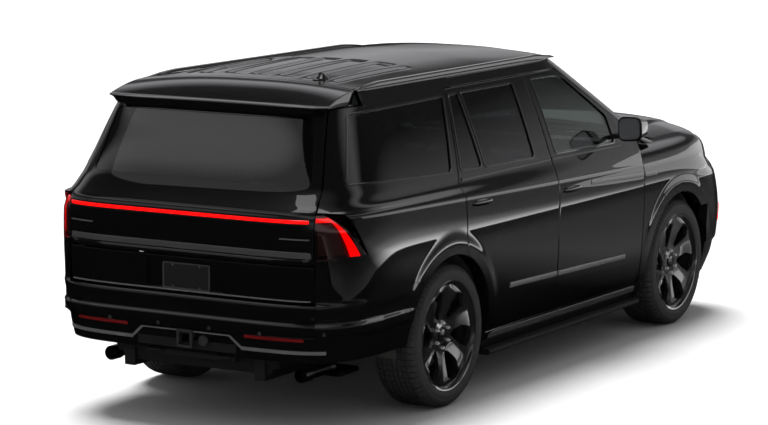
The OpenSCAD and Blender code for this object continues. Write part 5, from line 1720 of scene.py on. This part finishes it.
def makePad(size, bolster, seams=(0.5,)):
    # a stuffed pad, its soft face towards +Z: rounded edges, a crown,
    # sides drawn in between the corners, sewn grooves
    half = [v / 2 for v in size]
    bm = bmesh.new()
    bmesh.ops.create_cube(bm, size=2)
    bmesh.ops.subdivide_edges(bm, edges=bm.edges[:], cuts=cabin["cuts"],
                              use_grid_fill=True)
    corner = min(cabin["round"], half[2] * 0.75)
    for v in bm.verts:
        u, s, t = v.co
        p = Vector((u * half[0], s * half[1], t * half[2]))
        core = Vector([clamp(c, -(h - corner), h - corner) for c, h in zip(p, half)])
        if (p - core).length > 0:
            p = core + (p - core).normalized() * corner
        p.x -= math.copysign(cabin["pull"] * (1 - s * s) * ease((abs(u) - 0.6) / 0.4), u)
        p.y -= math.copysign(cabin["pull"] * (1 - u * u) * ease((abs(s) - 0.6) / 0.4), s)
        up = ease(t)
        p.z += up * (cabin["crown"] * ((1 - u ** 4) * (1 - s ** 4) - 1)
                     - (bolster if abs(s) < 0.55 else 0) * 0.5
                     * ease((0.62 - abs(s)) / 0.15))
        for place in seams:
            p.z -= up * cabin["seam"] * math.exp(-((abs(s) - place) / 0.045) ** 2)
            p.z -= up * cabin["seam"] * 0.7 * math.exp(-((abs(u) - 0.35) / 0.045) ** 2) * (abs(s) < place)
        v.co = p
    return bm


def placed(bm, spot, x, y, leaned, standing=False):
    # from the pad's own place to the seat at x, y; a standing pad faces forwards
    if standing:
        turned(bm, math.pi / 2, "Y")
    moved(bm, spot)
    if leaned:
        moved(turned(bm, math.radians(cabin["lean"]), "Y"), (0, 0, 0.2))
    return moved(bm, (x, y, cabin["floor"]))


def addSeats():
    for row, (x, side) in cabin["rows"].items():
        for place, y in (("Left", side), ("Right", -side)):
            tag = row.capitalize() + place
            for name, size, bolster, seams, spot, standing in (
                    ("cushion", cabin["cushion"], cabin["bolster"], (0.5,), (0.26, 0, 0.235), False),
                    ("seatBack", cabin["back"], cabin["bolster"], (0.5,), (-0.04, 0, 0.32), True),
                    ("headRest", cabin["rest"], 0, (), (-0.0525, 0, 0.695), True)):
                bm = placed(makePad(size, bolster, seams), spot, x, y, standing, standing)
                pad = addPiece(name + tag, bm, finish["seatLeather"], "body", ["seats"], "seat_leather",
                               sharp=1.4, weighted=False)
    frames = []
    for x, side in cabin["rows"].values():
        for y in (side, -side):
            base = outlineBlock([(y - 0.23, 0.4805), (y + 0.23, 0.4805), (y + 0.2, 0.65), (y - 0.2, 0.65)],
                                x + 0.06, x + 0.44, 0.01, "X")
            frames.append(soften(base, 0.006, 2))
            for s in (-0.06, 0.06):
                post = roundBar((-0.05, s, 0.56), (-0.05, s, 0.66), 0.006, 12)
                frames.append(placed(post, (0, 0, 0), x, y, True))
    addPiece("seatFrames", joined(*frames), finish["cabinPlastic"], "body", ["seats"], "interior_plastic")
    print("seats ready")


def addDashboard():
    # dashboard section carried across the car, its hood over the dials and a wide screen
    section = [(1.289, 0.905), (1.289, 1.15), (1.2, 1.159), (1.12, 1.15), (1.075, 1.12), (1.07, 1.085),
               (1.1, 1.06), (1.095, 1.0), (1.065, 0.96), (1.085, 0.915), (1.15, 0.902)]
    rows = []
    for y in between([-0.779, 0.779], 0.03):
        binnacle = 0.006 * math.exp(-((y - 0.4) / 0.16) ** 2)
        rows.append([Vector((x - (binnacle if x < 1.13 and z > 1.1 else 0), y, z)) for x, z in section])
    bm = bmesh.new()
    grid = [[bm.verts.new(p) for p in row] for row in rows]
    for a, b in zip(grid, grid[1:]):
        for i in range(len(section)):
            j = (i + 1) % len(section)
            bm.faces.new((a[i], a[j], b[j], b[i]))
    bm.faces.new(grid[0])
    bm.faces.new(grid[-1])
    bmesh.ops.recalc_face_normals(bm, faces=bm.faces[:])
    soften(bm, 0.006, 3, 0.35)
    addPiece("dashboardShell", bm, finish["cabinPlastic"], "body", ["dashboard"], "interior_plastic")
    screens = [outlineBlock([(-0.7, 1.083), (0.72, 1.083), (0.72, 1.135), (-0.7, 1.135)], 1.0635, 1.0695,
                            0.012, "X"),
               outlineBlock([(-0.16, 0.965), (0.12, 0.965), (0.12, 1.06), (-0.16, 1.06)], 1.0625, 1.072,
                            0.012, "X")]
    addPiece("dashboardScreens", joined(*screens), finish["screenBlack"], "body", slot="interior_plastic")
    vents = []
    for y0 in (-0.72, -0.42, 0.2, 0.56):
        for k in range(7):
            vents.append(box((1.083, y0, 1.005 + 0.007 * k), (1.0965, y0 + 0.16, 1.0078 + 0.007 * k)))
    addPiece("airVents", joined(*vents), finish["satinTrim"], "body", slot="interior_plastic")
    print("dashboard ready")


steering = {"spot": (0.96, 0.4, 1.06), "lean": 65, "ring": 0.175, "spokes": (60, 180, 300)}


def addSteeringWheel():
    angles = [math.tau * k / 14 for k in range(14)]
    ring = spun([(steering["ring"] + 0.014 * math.cos(a), 0.0138 * math.sin(a)) for a in angles], 72)
    hub = spun([(0.0005, -0.014), (0.045, -0.014), (0.045, 0.008), (0.038, 0.0148), (0.0005, 0.0148)], 40)
    column = spun([(0.0005, -0.0993), (0.0218, -0.0993), (0.0218, -0.015), (0.0005, -0.015)], 28)
    spokes = []
    for turn in steering["spokes"]:
        spoke = box((0.02, -0.0058, -0.0118), (0.169, 0.0058, 0.0118), 0.004, 2)
        for v in spoke.verts:
            v.co.z *= mix(1.0, 0.72, ease((v.co.x - 0.04) / 0.12))
        spokes.append(turned(spoke, math.radians(-turn), "Y"))
    whole = joined(ring, hub, column, *spokes)
    # from an axis along Y to one along Z, then leaned towards the driver
    turned(turned(whole, math.pi / 2, "X"), math.radians(-steering["lean"]), "Y")
    moved(whole, steering["spot"])
    addPiece("steeringWheel", whole, finish["cabinPlastic"], "body", ["steering_wheel"], "interior_plastic")
    print("steering wheel ready")


# sills, underside and what hangs below the rear bumper
under = {"sill": [(-0.9, 0.338), (-0.86, 0.336), (1.08, 0.324), (1.14, 0.323)], "pipe": 0.0415}


def addSills():
    points, outs = alongSide(under["sill"], 90)
    section = [(-0.034, -0.03), (-0.03, -0.002), (-0.022, 0.004), (0.006, 0.0045), (0.02, -0.002),
               (0.026, -0.012), (0.026, -0.03)]
    moulding = sweep(points, outs, section)
    addPiece("sillMouldings", bothSides(moulding), finish["sillGrey"], "body", slot="black_trim")
    board = outlineBlock([(0.837, 0.2145), (0.955, 0.2145), (0.974, 0.226), (0.974, 0.24), (0.962, 0.249),
                          (0.837, 0.249)],
                         -0.879, 1.169, 0.004, "X")
    soften(board, 0.003, 2)
    treads = [board]
    for k in range(5):
        y = 0.87 + 0.019 * k
        rib = [(y, 0.2485), (y + 0.01, 0.2485), (y + 0.009, 0.2494), (y + 0.001, 0.2494)]
        treads.append(outlineBlock(rib, -0.84, 1.13, 0, "X"))
    # the running boards are near-black to paint the shadow under the sills
    addPiece("runningBoards", bothSides(joined(*treads)), finish["paintedShadePlastic"], "body", ["running_boards"],
             "black_trim")


def addExhaust():
    r = under["pipe"]
    parts = []
    for y in (0.64, -0.64):
        pipe = spun([(r, -2.15), (r, -2.19), (r - 0.006, -2.2), (r - 0.006, -2.36), (r, -2.38), (r, -2.455),
                     (r - 0.002, -2.46), (r - 0.004, -2.455), (r - 0.004, -2.42), (0.0005, -2.42),
                     (0.0005, -2.15)], 40)
        parts.append(moved(turned(pipe, -math.pi / 2, "Z"), (0, y, 0.33)))
    muffler = uprightBlock([(-2.15, -0.7), (-1.91, -0.7), (-1.91, 0.7), (-2.15, 0.7)], 0.2755, 0.299, 0.03)
    parts.append(soften(muffler, 0.006, 3))
    # pipes and muffler in near-black metal: painted shade under the bumper
    addPiece("exhaustPipes", joined(*parts), finish["exhaustShadeDark"], "body", ["exhaust"], "steel")
    # valance in the shade behind the bumper's lower edge, near-black as painted shade, with the tow bracket
    # in front of it
    ys = between([-0.6, 0.6], 0.03)
    rows = []
    for k in (0, 0.25, 0.5, 0.75, 1):
        rows.append([rearPoint(y, mix(0.5, 0.33 if abs(y) < 0.56 else 0.37, k), 0.07 + 0.03 * k) for y in ys])
    back = [[p + Vector((0.012, 0, 0)) for p in row] for row in rows]
    addPiece("rearValance", soften(slab(rows, back), 0.003, 2), finish["paintedShadePlastic"], "body",
             slot="liner_plastic")
    bracket = [uprightBlock([(-2.6, -0.3), (-2.54, -0.3), (-2.54, 0.3), (-2.6, 0.3)], 0.395, 0.452, 0.012)]
    for s in (-1, 1):
        loop = [Vector((-2.6 - 0.028 * math.sin(math.pi * k / 16),
                        s * 0.225 + 0.045 * math.cos(math.pi * k / 16), 0.42))
                for k in range(17)]
        bracket.append(sweep(loop, [Vector((0, 0, 1))] * 17,
                             [(-0.007, -0.007), (-0.007, 0.007), (0.007, 0.007), (0.007, -0.007)]))
    # the tow bracket's near-black colour is painted shade
    addPiece("towBracket", soften(joined(*bracket), 0.003, 2), finish["paintedShadePlastic"], "body",
             slot="liner_plastic")
    print("underside ready")


def paintNodes():
    # the ladder frame gets the near-black plastic, its darkness painted shade
    looks = {"ladder_frame": "paintedShadePlastic", "underbody": "roughPlastic", "wheel_liners": "roughPlastic",
             "engine": "castMetal", "suspension": "darkMetal", "knuckle_left": "darkMetal",
             "knuckle_right": "darkMetal"}
    for name, look in looks.items():
        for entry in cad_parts[name].material_slots:
            entry.link = "OBJECT"
            entry.material = finish[look]
    print("plain nodes painted")


addSeats()
addDashboard()
addSteeringWheel()
addSills()
addExhaust()
paintNodes()
